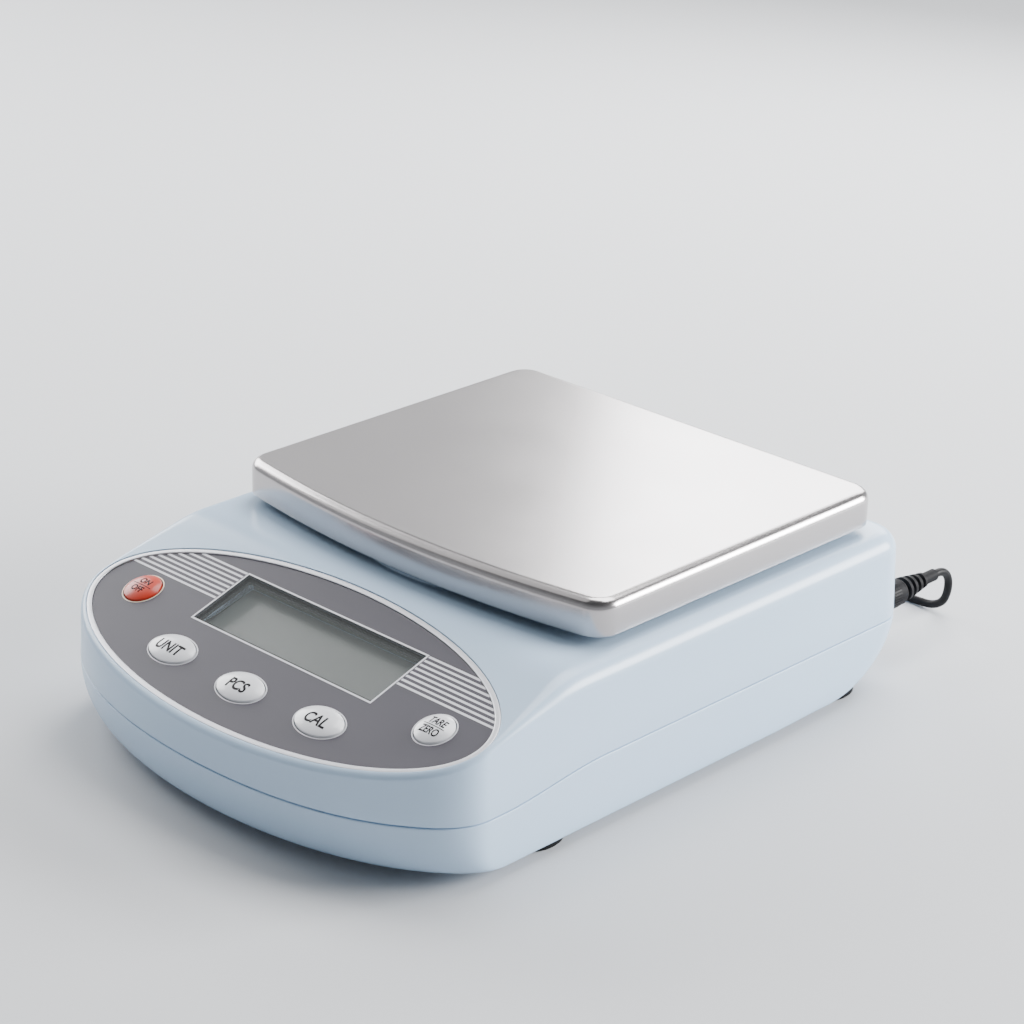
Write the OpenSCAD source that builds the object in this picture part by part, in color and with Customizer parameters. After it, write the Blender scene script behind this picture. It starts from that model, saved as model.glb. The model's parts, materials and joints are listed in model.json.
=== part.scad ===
// Electronic top-pan laboratory balance: two-part plastic housing, sloping oval control panel,
// lift-off steel weighing pan on a single-point load cell, and a plug-in low-voltage lead.
// Millimetres. Origin on the table under the middle of the housing, +X right, -Y front, +Z up.

/* [Housing] */
// Width of the housing
case_w = 182; // [172:1:200]
// Depth of the housing
case_d = 241; // [232:1:260]
// Height of the flat top of the housing above the table
case_top_z = 56.8; // [54:0.2:60]
// Height of the underside of the housing above the table
case_bottom_z = 3.5; // [2.5:0.1:5]
// Depth of the half ellipse that bows the front of the housing
front_bow = 37.5; // [34:0.5:42]
// Radius of the two rear corners in plan
rear_corner_r = 14; // [10:0.5:18]
// Radius of the shoulder beside the pan
shoulder_r = 7; // [5:0.5:9]
// Radius of the lip round the control panel
lip_r = 1.8; // [1.2:0.1:2.2]
// Thickness of the side walls
wall = 2.6; // [2.2:0.1:3]
// Thickness of the top wall
top_wall = 3.2; // [2.8:0.1:3.6]
// Thickness of the floor
floor_t = 2.6; // [2.2:0.1:3.2]
// Height of the parting line along the sides and the back
part_z_rear = 26.5; // [25:0.5:29]
// Height of the parting line at the front middle
part_z_front = 21.3; // [20:0.1:22]
// Rise of the parting line from the front middle to the sides of the panel
part_rise = 1.4; // [0.5:0.1:2]
// Draft of the upper side walls, degrees
case_draft = 2.2; // [1:0.1:3]
// How far the underside is drawn in at the front
tuck_front = 7; // [5:0.5:9]
// Depth of the half ellipse that bows the front of the underside
sole_bow = 46; // [42:1:48]
// How far the underside is drawn in at the sides
tuck_side = 2; // [1:0.25:3]
// How far the underside is drawn in at the back
tuck_rear = 13.4; // [9:0.2:13.6]

/* [Control panel] */
// Slope of the control panel, degrees
panel_tilt = 17.5; // [15:0.5:19]
// Distance from the front of the housing to the crest above the panel
crest_setback = 73.6; // [72:0.2:78]
// Width of the housing lip outside the panel ring
lip_w = 2.6; // [2.2:0.1:3]
// Depth of the panel pocket below the lip
pocket_depth = 1.8; // [1.6:0.1:2]
// Thickness of the panel overlay
overlay_t = 1.2; // [0.8:0.1:1.4]
// Width of the silver ring
ring_w = 2; // [1.5:0.1:2.5]
// Height of the ring above the overlay
ring_proud = 0.3; // [0.1:0.05:0.5]
// Width of the display window
window_w = 83; // [76:1:86]
// Height of the display window
window_h = 25; // [22:0.5:26]
// Display centre above the panel centre, along the slope
window_v = 10.5; // [9.5:0.5:11.5]
// Diameter of the round power and tare buttons
round_button_d = 12.8; // [11.5:0.1:13.5]
// Width of the oval buttons
oval_button_w = 18.5; // [16:0.5:20]
// Height of the oval buttons
oval_button_h = 12; // [10.5:0.5:12.5]
// Distance of the round buttons from the panel's side ends
round_button_inset = 20; // [18.5:0.5:22]
// Spacing of the oval buttons
oval_button_pitch = 34.5; // [32:0.5:36]
// Button travel
button_travel = 0.8; // [0.5:0.1:0.8]

/* [Weighing pan] */
// Width of the pan
pan_w = 165; // [155:1:170]
// Depth of the pan at its middle
pan_d = 145.1; // [140:0.5:150]
// Setback of the pan's rear edge from the back of the housing
pan_setback = 11; // [8:0.5:14]
// How far the pan's front edge bows forward
pan_bow = 8.4; // [5:0.2:10]
// Height of the pan's top above the housing's flat top
pan_rise = 15.2; // [14.6:0.1:17]
// Height of the pan's skirt
pan_skirt = 12.2; // [10:0.1:12.4]
// Sheet thickness of the pan
pan_sheet = 0.9; // [0.7:0.1:1.2]
// Corner radius of the pan in plan
pan_corner_r = 9; // [7:0.5:12]
// Radius of the pan's top edge
pan_edge_r = 3.6; // [2.5:0.1:4.5]
// Travel of the load cell at full load
weigh_travel = 0.4; // [0.2:0.1:0.5]

/* [Load cell] */
// Length of the load cell
cell_l = 80; // [70:1:86]
// Width and height of the load cell
cell_s = 12.7; // [11.5:0.1:14]
// Radius of the load cell's sensing holes
cell_hole_r = 4.2; // [3.5:0.1:4.6]
// Radius of the post that carries the pan
post_r = 8; // [7:0.5:10]

/* [Feet] */
// Diameter of the rubber feet
foot_d = 22; // [18:0.5:24]
// Depth of the recess that seats a foot
foot_recess = 1.2; // [0.8:0.1:1.5]

/* [Power inlet and lead] */
// Distance of the power socket from the right side of the housing
jack_inset = 19.5; // [18:0.5:24]
// Height of the power socket above the table
jack_z = 21; // [19:0.2:21]
// Bore radius of the power socket
jack_bore_r = 2.8; // [2.7:0.05:3]
// Radius of the socket's centre pin
jack_pin_r = 1; // [0.8:0.05:1.1]
// Radial clearance of the plug in the socket and of the pin in the plug
plug_fit = 0.05; // [0.03:0.01:0.08]
// Radius of the plug's grip
plug_r = 4.75; // [4.4:0.05:4.9]
// Length of the plug outside the housing
plug_l = 40; // [36:1:44]
// Diameter of the lead
cord_d = 3; // [2.6:0.1:3.2]
// Turns in the coil of spare lead
coil_turns = 12; // [8:4:16]

/* [Hidden] */
$fn = 48;

// Clearances and overlaps shared by many pieces
eps = 0.01;
run_gap = 0.3;
seat_gap = 0.15;
fit_gap = 0.1;
hole_gap = 0.2;
thread_gap = 0.05;
sunk = 1;
beyond = 10;

// Housing
seam_gap = 0.5;
hw = case_w / 2;
y_front = -case_d / 2;
y_rear = case_d / 2;
oval_y = y_front + front_bow;
crest_y = y_front + crest_setback;
crest_blend = 6;
panel_z = case_top_z - (crest_y - oval_y) * tan(panel_tilt);
rise_l = 20;
dip_start = 5;
dip_l = 45;
dip_y0 = oval_y + dip_start;
dip_y1 = dip_y0 + dip_l;
tongue_in = wall / 2;
tongue_h = 1.6;
relief_z = tongue_h + 0.4;
relief_in = tongue_in - 0.25;
floor_z = case_bottom_z + floor_t;
sole_corner_r = 11;

// Panel stack, measured along the panel's own normal from its outer face
ring_a = hw - lip_w;
ring_b = (front_bow - lip_w) / cos(panel_tilt);
overlay_w = -pocket_depth + overlay_t;
panel_under = -top_wall * cos(panel_tilt);
ledge = 1;
window_r = 1;
shroud_wall = 1.2;
flange_out = 1;
flange_t = 1.1;
flange_gap = 0.45;
flange_top = panel_under - flange_gap;
button_edge = 0.5;
dome_h = 1.3;
stem_l = 1;
stem_r = 2;
stem_end = flange_top - flange_t - stem_l;
switch_top = stem_end - button_travel - fit_gap;
switch_s = 6;
switch_body_h = 1.4;
switch_nub_r = 1.6;
switch_nub_h = 0.4;
board_t = 1.6;
board_top = switch_top - switch_nub_h - switch_body_h;
board_under = board_top - board_t;
lcd_t = 2.7;
lcd_step = 1;
lcd_frame = 1.5;
lcd_top = board_top + lcd_t;
board_inset = 12.5;
board_a = ring_a - board_inset;
board_low = -25.5;
board_high = 25.5;
board_chamfer = [26, 18];
board_fix_high = [board_a - 17.9, 19];
board_fix_low = [board_a - 19.9, -13.5];
board_fix = [for (sx = [-1, 1], p = [board_fix_high, board_fix_low]) [sx * p[0], p[1]]];
board_boss_r = 3;
board_thread = 4.5;
board_bite = 4;

// Buttons: name, place on the panel and half axes
round_u = ring_a - round_button_inset;
power_v = -0.5;
tare_v = -1;
outer_oval_v = -17;
middle_oval_v = -18.5;
round_r = round_button_d / 2;
oval_a = oval_button_w / 2;
oval_b = oval_button_h / 2;
BUTTONS = [
  ["power", [-round_u, power_v], round_r, round_r],
  ["tare", [round_u, tare_v], round_r, round_r],
  ["unit", [-oval_button_pitch, outer_oval_v], oval_a, oval_b],
  ["pcs", [0, middle_oval_v], oval_a, oval_b],
  ["cal", [oval_button_pitch, outer_oval_v], oval_a, oval_b]
];

// Pan and weighing stack, from the table up
pan_hw = pan_w / 2;
pan_back = y_rear - pan_setback;
pan_front = pan_back - pan_d;
pan_mid = [0, (pan_back + pan_front) / 2];
pan_top = case_top_z + pan_rise;
pan_bottom = pan_top - pan_skirt;
pan_arc_r = (pow(pan_hw, 2) + pow(pan_bow, 2)) / (2 * pan_bow);
cushion_t = 1.6;
cushion_r = 5;
cushion_rim = 2.5;
cushion_pocket = 0.8;
carrier_top = pan_top - pan_sheet - cushion_t;
arm_t = 4;
arm_root = 7;
arm_tip = 4.5;
arm_rib = 1.5;
arm_rib_short = 6;
arm_inset = [18, 20];
arm_reach_x = pan_hw - arm_inset[0];
arm_reach_y = pan_d / 2 - arm_inset[1];
hub_r = 16;
hub_t = 7.5;
hub_fix_r = 5;
hub_well_r = 3;
hub_well_d = 3;
hub_bite = 7;
post_top = carrier_top - hub_t;
post_flare = 3;
post_flare_h = 6;
post_thread = 9;
post_room = 6;
hole_r = post_r + post_room;
collar_w = 2.5;
spill_r = 67.5;
spill_h = 1.4;
spill_foot = 1.6;
spill_crown = 0.5;
plate_t = 3;
plate_lift = 2.9;
plate_rim = 4;
plate_z = floor_z + plate_lift;
cell_z = plate_z + 2 * plate_t;
cell_hole_y = 6.5;
cell_slot = 2;
cell_end = cell_l / 2;
cell_fix = [cell_end - 5, cell_end - 17];
cell_screw_r = 2;
cell_thread = 9;
cell_bite = 8;
cell_foot = [cell_s + 1, 22];
bracket_z = cell_z + cell_s + plate_t;
bracket_t = 4;
bracket_w = 26;
bracket_back = 14;
stop_y = cell_end - 11;
stop_below = 2;
stop_nut_t = 1.4;
pad_x = 13;
pad_y = cell_end + 3;
pad_r = 4;
pads = [for (sx = [-1, 1], sy = [-1, 1]) [sx * pad_x, sy * pad_y]];

// Screws: head radius and head height
case_head = [3.2, 2.3];
foot_head = [3.1, 1.3];
board_head = [2.4, 1.6];
hub_head = [2.5, 2.2];
cell_head = [3.4, 2.4];
pad_head = [2.8, 2];
board_screw_r = 1.2;
case_screw_r = 1.5;

// Housing screws and feet
case_fix_inset = 11;
case_fix_front = 92.5;
case_fix_back = 52.5;
case_fix_x = hw - case_fix_inset;
case_fix_ys = [y_front + case_fix_front, y_rear - case_fix_back];
case_boss_r = 4;
case_well_r = case_head[0] + 0.4;
case_thread = 14;
case_bite = 10;
boss_drop = 2;
boss_meet_z = part_z_front - boss_drop;
screw_head_lift = 2.9;
screw_head_z = floor_z + screw_head_lift;
foot_r = foot_d / 2;
foot_top = case_bottom_z + foot_recess;
foot_edge = 0.8;
foot_well_r = foot_head[0] + 0.5;
foot_head_z = 1.8;
foot_pad_w = 1.2;
foot_pad_h = 1;
foot_boss_r = 5;
foot_boss_h = 6;
foot_bite = 4.6;
foot_front_inset = [14, 69];
foot_rear_inset = [16, 26];
foot_front = [hw - foot_front_inset[0], y_front + foot_front_inset[1]];
foot_rear = [hw - foot_rear_inset[0], y_rear - foot_rear_inset[1]];
FEET = [
  ["foot_front_left", [-foot_front[0], foot_front[1]]],
  ["foot_front_right", foot_front],
  ["foot_rear_left", [-foot_rear[0], foot_rear[1]]],
  ["foot_rear_right", foot_rear]
];

// Main board and the parts on it
main_size = [44, 76];
main_half = main_size / 2;
main_inset = [41, 92.5];
main_mid = [-hw + main_inset[0], y_rear - main_inset[1]];
main_lift = 6;
main_z = floor_z + main_lift;
main_edge = 4;
main_post_r = 3;
main_bite = 5;
main_fix = [
  for (sx = [-1, 1], sy = [-1, 1])
    main_mid + [sx * (main_half[0] - main_edge), sy * (main_half[1] - main_edge)]
];
socket_h = 4;
socket_d = 6;
socket_inset = 8;
chip_at = [-6, 8];
chip_size = [12, 12, 1.6];
converter_size = [14, 16, 5];
converter_at = [main_half[0] - 14, main_half[1] - 16];
large_can = [4, 11];
large_can_at = [10 - main_half[0], main_half[1] - 12];
small_can = [3.2, 9];
small_can_at = [main_half[0] - 10, 0];
ribbon_u = main_mid[0];
ribbon_w = 16;
ribbon_t = 0.6;
ribbon_drop = 0.3;
socket_w = ribbon_w + 4;

// Power socket and plug
jack_x = hw - jack_inset;
jack_face_set = 0.5;
jack_l = 18;
jack_nose = 4.1;
jack_wall = 2.1;
jack_half = 5.5;
jack_depth = 10;
jack_pin_set = 0.8;
jack_face_y = y_rear - jack_face_set;
jack_back_y = jack_face_y - jack_l;
jack_shelf_y = jack_face_y - jack_nose;
jack_shelf_short = 3;
jack_nose_r = jack_bore_r + jack_wall;
plug_stand = 0.3;
plug_y = y_rear + plug_stand;
plug_edge = 0.6;
plug_web = 0.5;
barrel_l = 9.3;
rib_count = 4;
rib_pitch = 3.4;
rib_h = 1.1;
rib_from = plug_l / 2;
cord_r = cord_d / 2;
neck_r = cord_r + 0.7;

// Lead, with its points given from the plug's neck on the table
lead_at = [jack_x, plug_y + plug_l, 0];
coil_gap = 0.46;
coil_lift = 0.8;
coil_pitch = cord_d + coil_gap;
coil_out = 22.2;
coil_in = coil_out - coil_turns / 4 * coil_pitch;
coil_z = cord_r + coil_lift;
route = [
  [0, 0, jack_z], [0, 3, jack_z], [0, 5.7, jack_z - 0.7], [-0.1, 8.1, 18.6], [-0.3, 9.8, 16],
  [-0.7, 10.7, 12.8], [-1.6, 11.4, 9.4], [-3.2, 12.1, 6.3], [-6, 12.8, 3.7], [-10, 13.3, 2.1],
  [-16, 13.5, 1.6], [-23, 13.3, 1.6], [-31, 12.5, 1.6], [-39, 11.3, 1.7], [-47, 10.2, 2], [-53, 9.4, coil_z],
  [-56.5, 9.4, coil_z]
];
route_end = route[len(route) - 1];
coil_mid = [route_end[0] - cord_d, route_end[1] - coil_out];
tail_z = coil_z + 3 * coil_pitch;
tail = [
  [-62.5, 9.4, tail_z], [-66.5, 9.4, tail_z], [-72.5, 7.8, tail_z - 0.8], [-77, 5.1, tail_z - 1.2],
  [-81, 1.2, tail_z - 1.2], [-84.5, -2.6, tail_z - 0.6], [-87.8, -4, tail_z], [-91.5, -4, tail_z]
];
tail_end = tail[len(tail) - 1];
tie_w = 5;
tie_t = 0.5;
tie_room = [0.6, 0.25];
adapter_l = 58;
adapter_h = 38;
adapter_t = 30;
adapter_r = 5;
adapter_seam = 9;
groove = 0.8;
relief_l = 12;
relief_r = 3.8;
relief_back = 22;
adapter_x = tail_end[0] - relief_l - adapter_l / 2;
adapter_y = tail_end[1] - relief_back;
blade_w = 6.3;
blade_t = 1.5;
blade_l = 17;
blade_tip = [2, 1.5];
blade_hole_r = 1.6;
blade_hole_from_tip = 4.5;
blade_gap = 12.7;

// Colours
shell_blue = [0.80, 0.87, 0.91];
panel_grey = [0.50, 0.49, 0.52];
lens_tint = [0.8, 0.9, 0.9, 0.3];
shroud_grey = [0.2, 0.2, 0.22];
lcd_grey = [0.55, 0.58, 0.52];
steel = [0.78, 0.77, 0.75];
white_cap = [0.92, 0.92, 0.93];
black_rubber = [0.08, 0.08, 0.09];
board_green = [0.10, 0.36, 0.22];

// General functions
function smooth(t) = let (c = min(max(t, 0), 1)) c * c * (3 - 2 * c);
function blend(a, b, t) = a + (b - a) * smooth(t);
function unit(v) = v / norm(v);
function sum(v, i = 0) = i < len(v) ? v[i] + sum(v, i + 1) : 0;

// A ring of points from its right half, which runs from the front middle to the straight rear edge
function mirrored(half) =
  concat(half, [for (i = [len(half) - 1:-1:1]) [-half[i][0], half[i][1], half[i][2]]]);

// A rounded rectangle about the origin
function rounded(w, h, r, n = 5) = [
  for (q = [0:3], i = [0:n])
    let (a = 90 * (q + i / n), sx = (q == 0 || q == 3) ? 1 : -1, sy = q < 2 ? 1 : -1)
      [sx * (w / 2 - r) + r * cos(a), sy * (h / 2 - r) + r * sin(a)]
];

function oval(a, b, n = 60) = [for (i = [0:n - 1]) [a * cos(360 * i / n), b * sin(360 * i / n)]];

// Skin over a chain of mirrored rings, capped at both ends by strips from side to side
module skin(rings) {
  n = len(rings[0]);
  m = (n - 1) / 2;
  last = (len(rings) - 1) * n;
  sides = [
    for (k = [0:len(rings) - 2], i = [0:n - 1])
      let (j = (i + 1) % n, a = k * n + i, b = k * n + j, c = b + n, d = a + n)
        each [[a, d, c], [a, c, b]]
  ];
  strips = [
    for (i = [0:m - 1])
      let (r0 = i, r1 = i + 1, l0 = (n - i) % n, l1 = n - i - 1)
        each concat(i > 0 ? [[r0, l0, l1]] : [], [[r0, l1, r1]])
  ];
  top_cap = [for (f = strips) [f[0] + last, f[1] + last, f[2] + last]];
  bottom_cap = [for (f = strips) [f[2], f[1], f[0]]];
  polyhedron([for (r = rings) each r], concat(sides, top_cap, bottom_cap));
}

// A round tube swept along points, with square ends and a frame that is carried along without twist
function directions(p) = [
  for (i = [0:len(p) - 1]) unit(p[min(i + 1, len(p) - 1)] - p[max(i - 1, 0)])
];
function square_to(v, t) = unit(v - (v * t) * t);
function across(t) = unit(cross(t, abs(t[2]) > 0.9 ? [1, 0, 0] : [0, 0, 1]));
function carried(t, last) = [
  for (i = 0, u = across(t[0]); i <= last; i = i + 1, u = i <= last ? square_to(u, t[i]) : u) u
];
module tube(p, r, sides) {
  t = directions(p);
  normals = carried(t, len(p) - 1);
  points = [
    for (i = [0:len(p) - 1], s = [0:sides - 1])
      let (a = 360 * s / sides) p[i] + r * (cos(a) * normals[i] + sin(a) * cross(t[i], normals[i]))
  ];
  walls = [
    for (i = [0:len(p) - 2], s = [0:sides - 1])
      let (q = (s + 1) % sides, a = i * sides + s, b = i * sides + q)
        each [[a, a + sides, b + sides], [a, b + sides, b]]
  ];
  last = (len(p) - 1) * sides;
  near = [for (s = [1:sides - 2]) [0, s, s + 1]];
  far = [for (s = [1:sides - 2]) [last, last + s + 1, last + s]];
  polyhedron(points, concat(walls, near, far));
}

// Housing outline: right half, front middle to rear middle, each entry a point and its outward normal
front_steps = 14;
dip_steps = 7;
flank_steps = 3;
corner_steps = 6;
side_ys = concat(
  [for (i = [1:dip_steps]) oval_y + i * (dip_y1 - oval_y) / dip_steps],
  [for (i = [1:flank_steps]) dip_y1 + i * (y_rear - rear_corner_r - dip_y1) / flank_steps]
);
case_plan = concat(
  [
    for (i = [0:front_steps])
      let (a = -90 + 90 * i / front_steps)
        [[hw * cos(a), oval_y + front_bow * sin(a)], unit([cos(a) / hw, sin(a) / front_bow])]
  ],
  [for (y = side_ys) [[hw, y], [1, 0]]],
  [
    for (i = [1:corner_steps])
      let (a = 90 * i / corner_steps, n = [cos(a), sin(a)])
        [[hw - rear_corner_r, y_rear - rear_corner_r] + rear_corner_r * n, n]
  ]
);

// Height of the outer top surface, of the parting line and radius of the shoulder, all by depth
function z_top(y) =
  y > crest_y + crest_blend ? case_top_z
  : y < crest_y - crest_blend ? case_top_z + (y - crest_y) * tan(panel_tilt)
  : case_top_z - tan(panel_tilt) * pow(crest_y + crest_blend - y, 2) / (4 * crest_blend);
part_z_side = part_z_front + part_rise;
function z_part(y) =
  y < oval_y ? blend(part_z_front, part_z_side, (y - y_front) / rise_l)
  : blend(part_z_side, part_z_rear, (y - dip_y0) / (dip_y1 - dip_y0));
function shoulder(y) = blend(lip_r, shoulder_r, (y - oval_y) / (crest_y + crest_blend - oval_y));
function lean(y) = tan(case_draft) * (z_top(y) - shoulder(y) - z_part(y));

// A point of the outline moved inwards, at a height or at a drop below the top surface
function inset_at(q, d, z) = let (p = q[0] - d * q[1]) [p[0], p[1], z];
function inset_below(q, d, drop) = let (p = q[0] - d * q[1]) [p[0], p[1], z_top(p[1]) - drop];

// The inside of the shoulder is a chamfer that follows this share of its radius
inner_chamfer = 0.75;
function ceiling(q) =
  let (y = q[0][1]) inset_below(q, wall + lean(y) + inner_chamfer * shoulder(y), top_wall);
function wall_top(q) =
  let (y = q[0][1]) inset_below(q, wall + lean(y), top_wall + inner_chamfer * shoulder(y));
function over_shoulder(q, a) =
  let (y = q[0][1], r = shoulder(y)) inset_below(q, lean(y) + r * (1 - cos(a)), r * (1 - sin(a)));

// Inside down to the seam, across it, up the outside and over the shoulder
upper_rings = concat(
  [
    [for (q = case_plan) ceiling(q)],
    [for (q = case_plan) wall_top(q)],
    [for (q = case_plan) inset_at(q, wall, z_part(q[0][1]) + relief_z)],
    [for (q = case_plan) inset_at(q, relief_in, z_part(q[0][1]) + relief_z)],
    [for (q = case_plan) inset_at(q, relief_in, z_part(q[0][1]) + seam_gap / 2)],
    [for (q = case_plan) inset_at(q, 0, z_part(q[0][1]) + seam_gap / 2)]
  ],
  [for (a = [0:18:90]) [for (q = case_plan) over_shoulder(q, a)]]
);

// Outline of the underside, matched point by point to the housing outline
sole_y = y_front + tuck_front + sole_bow;
sole_corner = [hw - tuck_side - sole_corner_r, y_rear - tuck_rear - sole_corner_r];
sole_share = (sole_corner[1] - sole_y) / (y_rear - rear_corner_r - oval_y);
function sole(q) =
  q[0][1] > y_rear - rear_corner_r ? sole_corner + sole_corner_r * q[1]
  : q[0][1] > oval_y ? [hw - tuck_side, sole_y + sole_share * (q[0][1] - oval_y)]
  : [q[0][0] * (hw - tuck_side) / hw, sole_y + (q[0][1] - oval_y) * sole_bow / front_bow];

// The walls draw in to it by a superellipse, round at the front and the back and tighter at the sides
side_power = 3.6;
round_power = 2;
front_turn = 1;
function tuck_power(n) =
  n[1] > 0 ? side_power + (round_power - side_power) * n[1]
  : blend(side_power, round_power, -n[1] / front_turn);
function drawn_in(q, t, d, z) =
  let (e = tuck_power(q[1]), f = 1 - pow(1 - pow(t, e), 1 / e), p = q[0] + (sole(q) - q[0]) * f - d * q[1])
    [p[0], p[1], z];
function z_rim(q) = z_part(q[0][1]) - seam_gap / 2;
function z_low(q, t) = z_rim(q) - t * (z_rim(q) - case_bottom_z);
function t_floor(q) = (z_rim(q) - floor_z) / (z_rim(q) - case_bottom_z);
floor_inset = 1.3 * wall;
lower_rings = concat(
  [for (t = [1, 0.97, 0.9, 0.78, 0.6, 0.35, 0]) [for (q = case_plan) drawn_in(q, t, 0, z_low(q, t))]],
  [
    [for (q = case_plan) inset_at(q, tongue_in, z_rim(q))],
    [for (q = case_plan) inset_at(q, tongue_in, z_part(q[0][1]) + tongue_h)],
    [for (q = case_plan) inset_at(q, wall, z_part(q[0][1]) + tongue_h)]
  ],
  [for (t = [0.4, 0.7]) [for (q = case_plan) drawn_in(q, t, wall, z_low(q, t))]],
  [[for (q = case_plan) drawn_in(q, t_floor(q), floor_inset, floor_z)]]
);

// Pan outline: bowed front edge, rounded corners, straight sides and back
pan_steps = 6;
pan_corner_x = pan_hw - pan_corner_r;
pan_arc_y = pan_front + pan_arc_r;
pan_corner_y = pan_arc_y - sqrt(pow(pan_arc_r - pan_corner_r, 2) - pow(pan_corner_x, 2));
pan_arc_end = asin(pan_corner_x / (pan_arc_r - pan_corner_r));
pan_plan = concat(
  [
    for (i = [0:pan_steps])
      let (b = pan_arc_end * i / pan_steps, n = [sin(b), -cos(b)]) [[0, pan_arc_y] + pan_arc_r * n, n]
  ],
  [
    for (i = [1:pan_steps])
      let (a = (90 - pan_arc_end) * (i / pan_steps - 1), n = [cos(a), sin(a)])
        [[pan_corner_x, pan_corner_y] + pan_corner_r * n, n]
  ],
  [
    for (i = [0:pan_steps])
      let (a = 90 * i / pan_steps, n = [cos(a), sin(a)])
        [[pan_corner_x, pan_back - pan_corner_r] + pan_corner_r * n, n]
  ]
);

// Inside of the pan, round the lower edge of its skirt and up over its rounded top edge
function pan_edge(q, set, r, a) = inset_at(q, set + r * (1 - cos(a)), pan_top - set - r * (1 - sin(a)));
pan_rings = concat(
  [for (a = [90:-30:0]) [for (q = pan_plan) pan_edge(q, pan_sheet, pan_edge_r - pan_sheet, a)]],
  [[for (q = pan_plan) inset_at(q, pan_sheet, pan_bottom)]],
  [[for (q = pan_plan) inset_at(q, 0, pan_bottom)]],
  [for (a = [0:18:90]) [for (q = pan_plan) pan_edge(q, 0, pan_edge_r, a)]]
);

// Spare lead: four layers that spiral in and out, climbing where the spiral turns back
coil_steps = 24;
layer_turns = coil_turns / 4;
function coil_radius(t) =
  let (m = t % (2 * layer_turns)) coil_out - coil_pitch * min(m, 2 * layer_turns - m);
function coil_height(t) =
  coil_z + coil_pitch * sum([for (k = [1:3]) smooth((t - layer_turns * k + 0.25) / 0.5)]);
coil_path = concat(
  [[coil_mid[0] + cord_d, coil_mid[1] + coil_out, coil_z]],
  [
    for (i = [0:coil_turns * coil_steps])
      let (t = i / coil_steps, a = 90 + 360 * t, r = coil_radius(t))
        [coil_mid[0] + r * cos(a), coil_mid[1] + r * sin(a), coil_height(t)]
  ],
  [[coil_mid[0] - cord_d, coil_mid[1] + coil_out, tail_z]]
);

// Placing helpers
module on_panel() {
  translate([0, oval_y, panel_z]) rotate([panel_tilt, 0, 0]) children();
}
module in_window() {
  on_panel() translate([0, window_v, 0]) children();
}
module at_pan() {
  translate([pan_mid[0], pan_mid[1], 0]) children();
}
module at_case_fixings() {
  for (sx = [-1, 1], y = case_fix_ys) translate([sx * case_fix_x, y, 0]) children();
}
module at_feet() {
  for (f = FEET) translate([f[1][0], f[1][1], 0]) children();
}
module at_each(places) {
  for (p = places) translate([p[0], p[1], 0]) children();
}
module along_y(at) {
  translate(at) rotate([-90, 0, 0]) children();
}

// Simple shapes between two heights
module slab(points, z0, z1) {
  translate([0, 0, z0]) linear_extrude(z1 - z0) polygon(points);
}
module rod(r, z0, z1) {
  translate([0, 0, z0]) cylinder(r = r, h = z1 - z0);
}
module block(size, z0, z1) {
  translate([-size[0] / 2, -size[1] / 2, z0]) cube([size[0], size[1], z1 - z0]);
}
module screw(r, head, l) {
  rod(head[0], -head[1], 0);
  rod(r, -eps, l);
}
module hanging_screw(z, r, head, l) {
  translate([0, 0, z]) mirror([0, 0, 1]) screw(r, head, l);
}
module button_holes() {
  for (b = BUTTONS) translate([b[1][0], b[1][1], 0]) {
    if (b[2] == b[3]) rod(b[2] + run_gap, board_top, beyond);
    else slab(oval(b[2] + run_gap, b[3] + run_gap), board_top, beyond);
  }
}

// Housing
panel_steps = 72;
window_opening = [window_w - 2 * ledge, window_h - 2 * ledge];
module upper_case() {
  color(shell_blue) difference() {
    union() {
      skin([for (r = upper_rings) mirrored(r)]);
      at_case_fixings() rod(case_boss_r, boss_meet_z, case_top_z - top_wall + sunk);
      on_panel() at_each(board_fix) rod(board_boss_r, board_top, panel_under + sunk / 2);
      at_pan() spill_rim();
      at_pan() rod(hole_r + collar_w, case_top_z - sunk, case_top_z + spill_h);
    }
    on_panel() slab(oval(ring_a + seat_gap, ring_b + seat_gap, panel_steps), -pocket_depth, beyond);
    in_window() slab(rounded(window_opening[0], window_opening[1], window_r), panel_under - sunk, 0);
    on_panel() button_holes();
    on_panel() at_each(board_fix) rod(board_screw_r + thread_gap, board_top - eps, board_top + board_thread);
    at_pan() rod(hole_r, case_top_z - beyond, case_top_z + beyond);
    at_case_fixings() rod(case_screw_r, boss_meet_z - eps, boss_meet_z + case_thread);
  }
}
module spill_rim() {
  half = [[spill_foot, -sunk], [spill_foot, 0], [spill_crown + 0.4, 0.8 * spill_h], [spill_crown, spill_h]];
  rotate_extrude($fn = 96) translate([spill_r, case_top_z])
    polygon(concat(half, [for (i = [len(half) - 1:-1:0]) [-half[i][0], half[i][1]]]));
}
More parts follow.
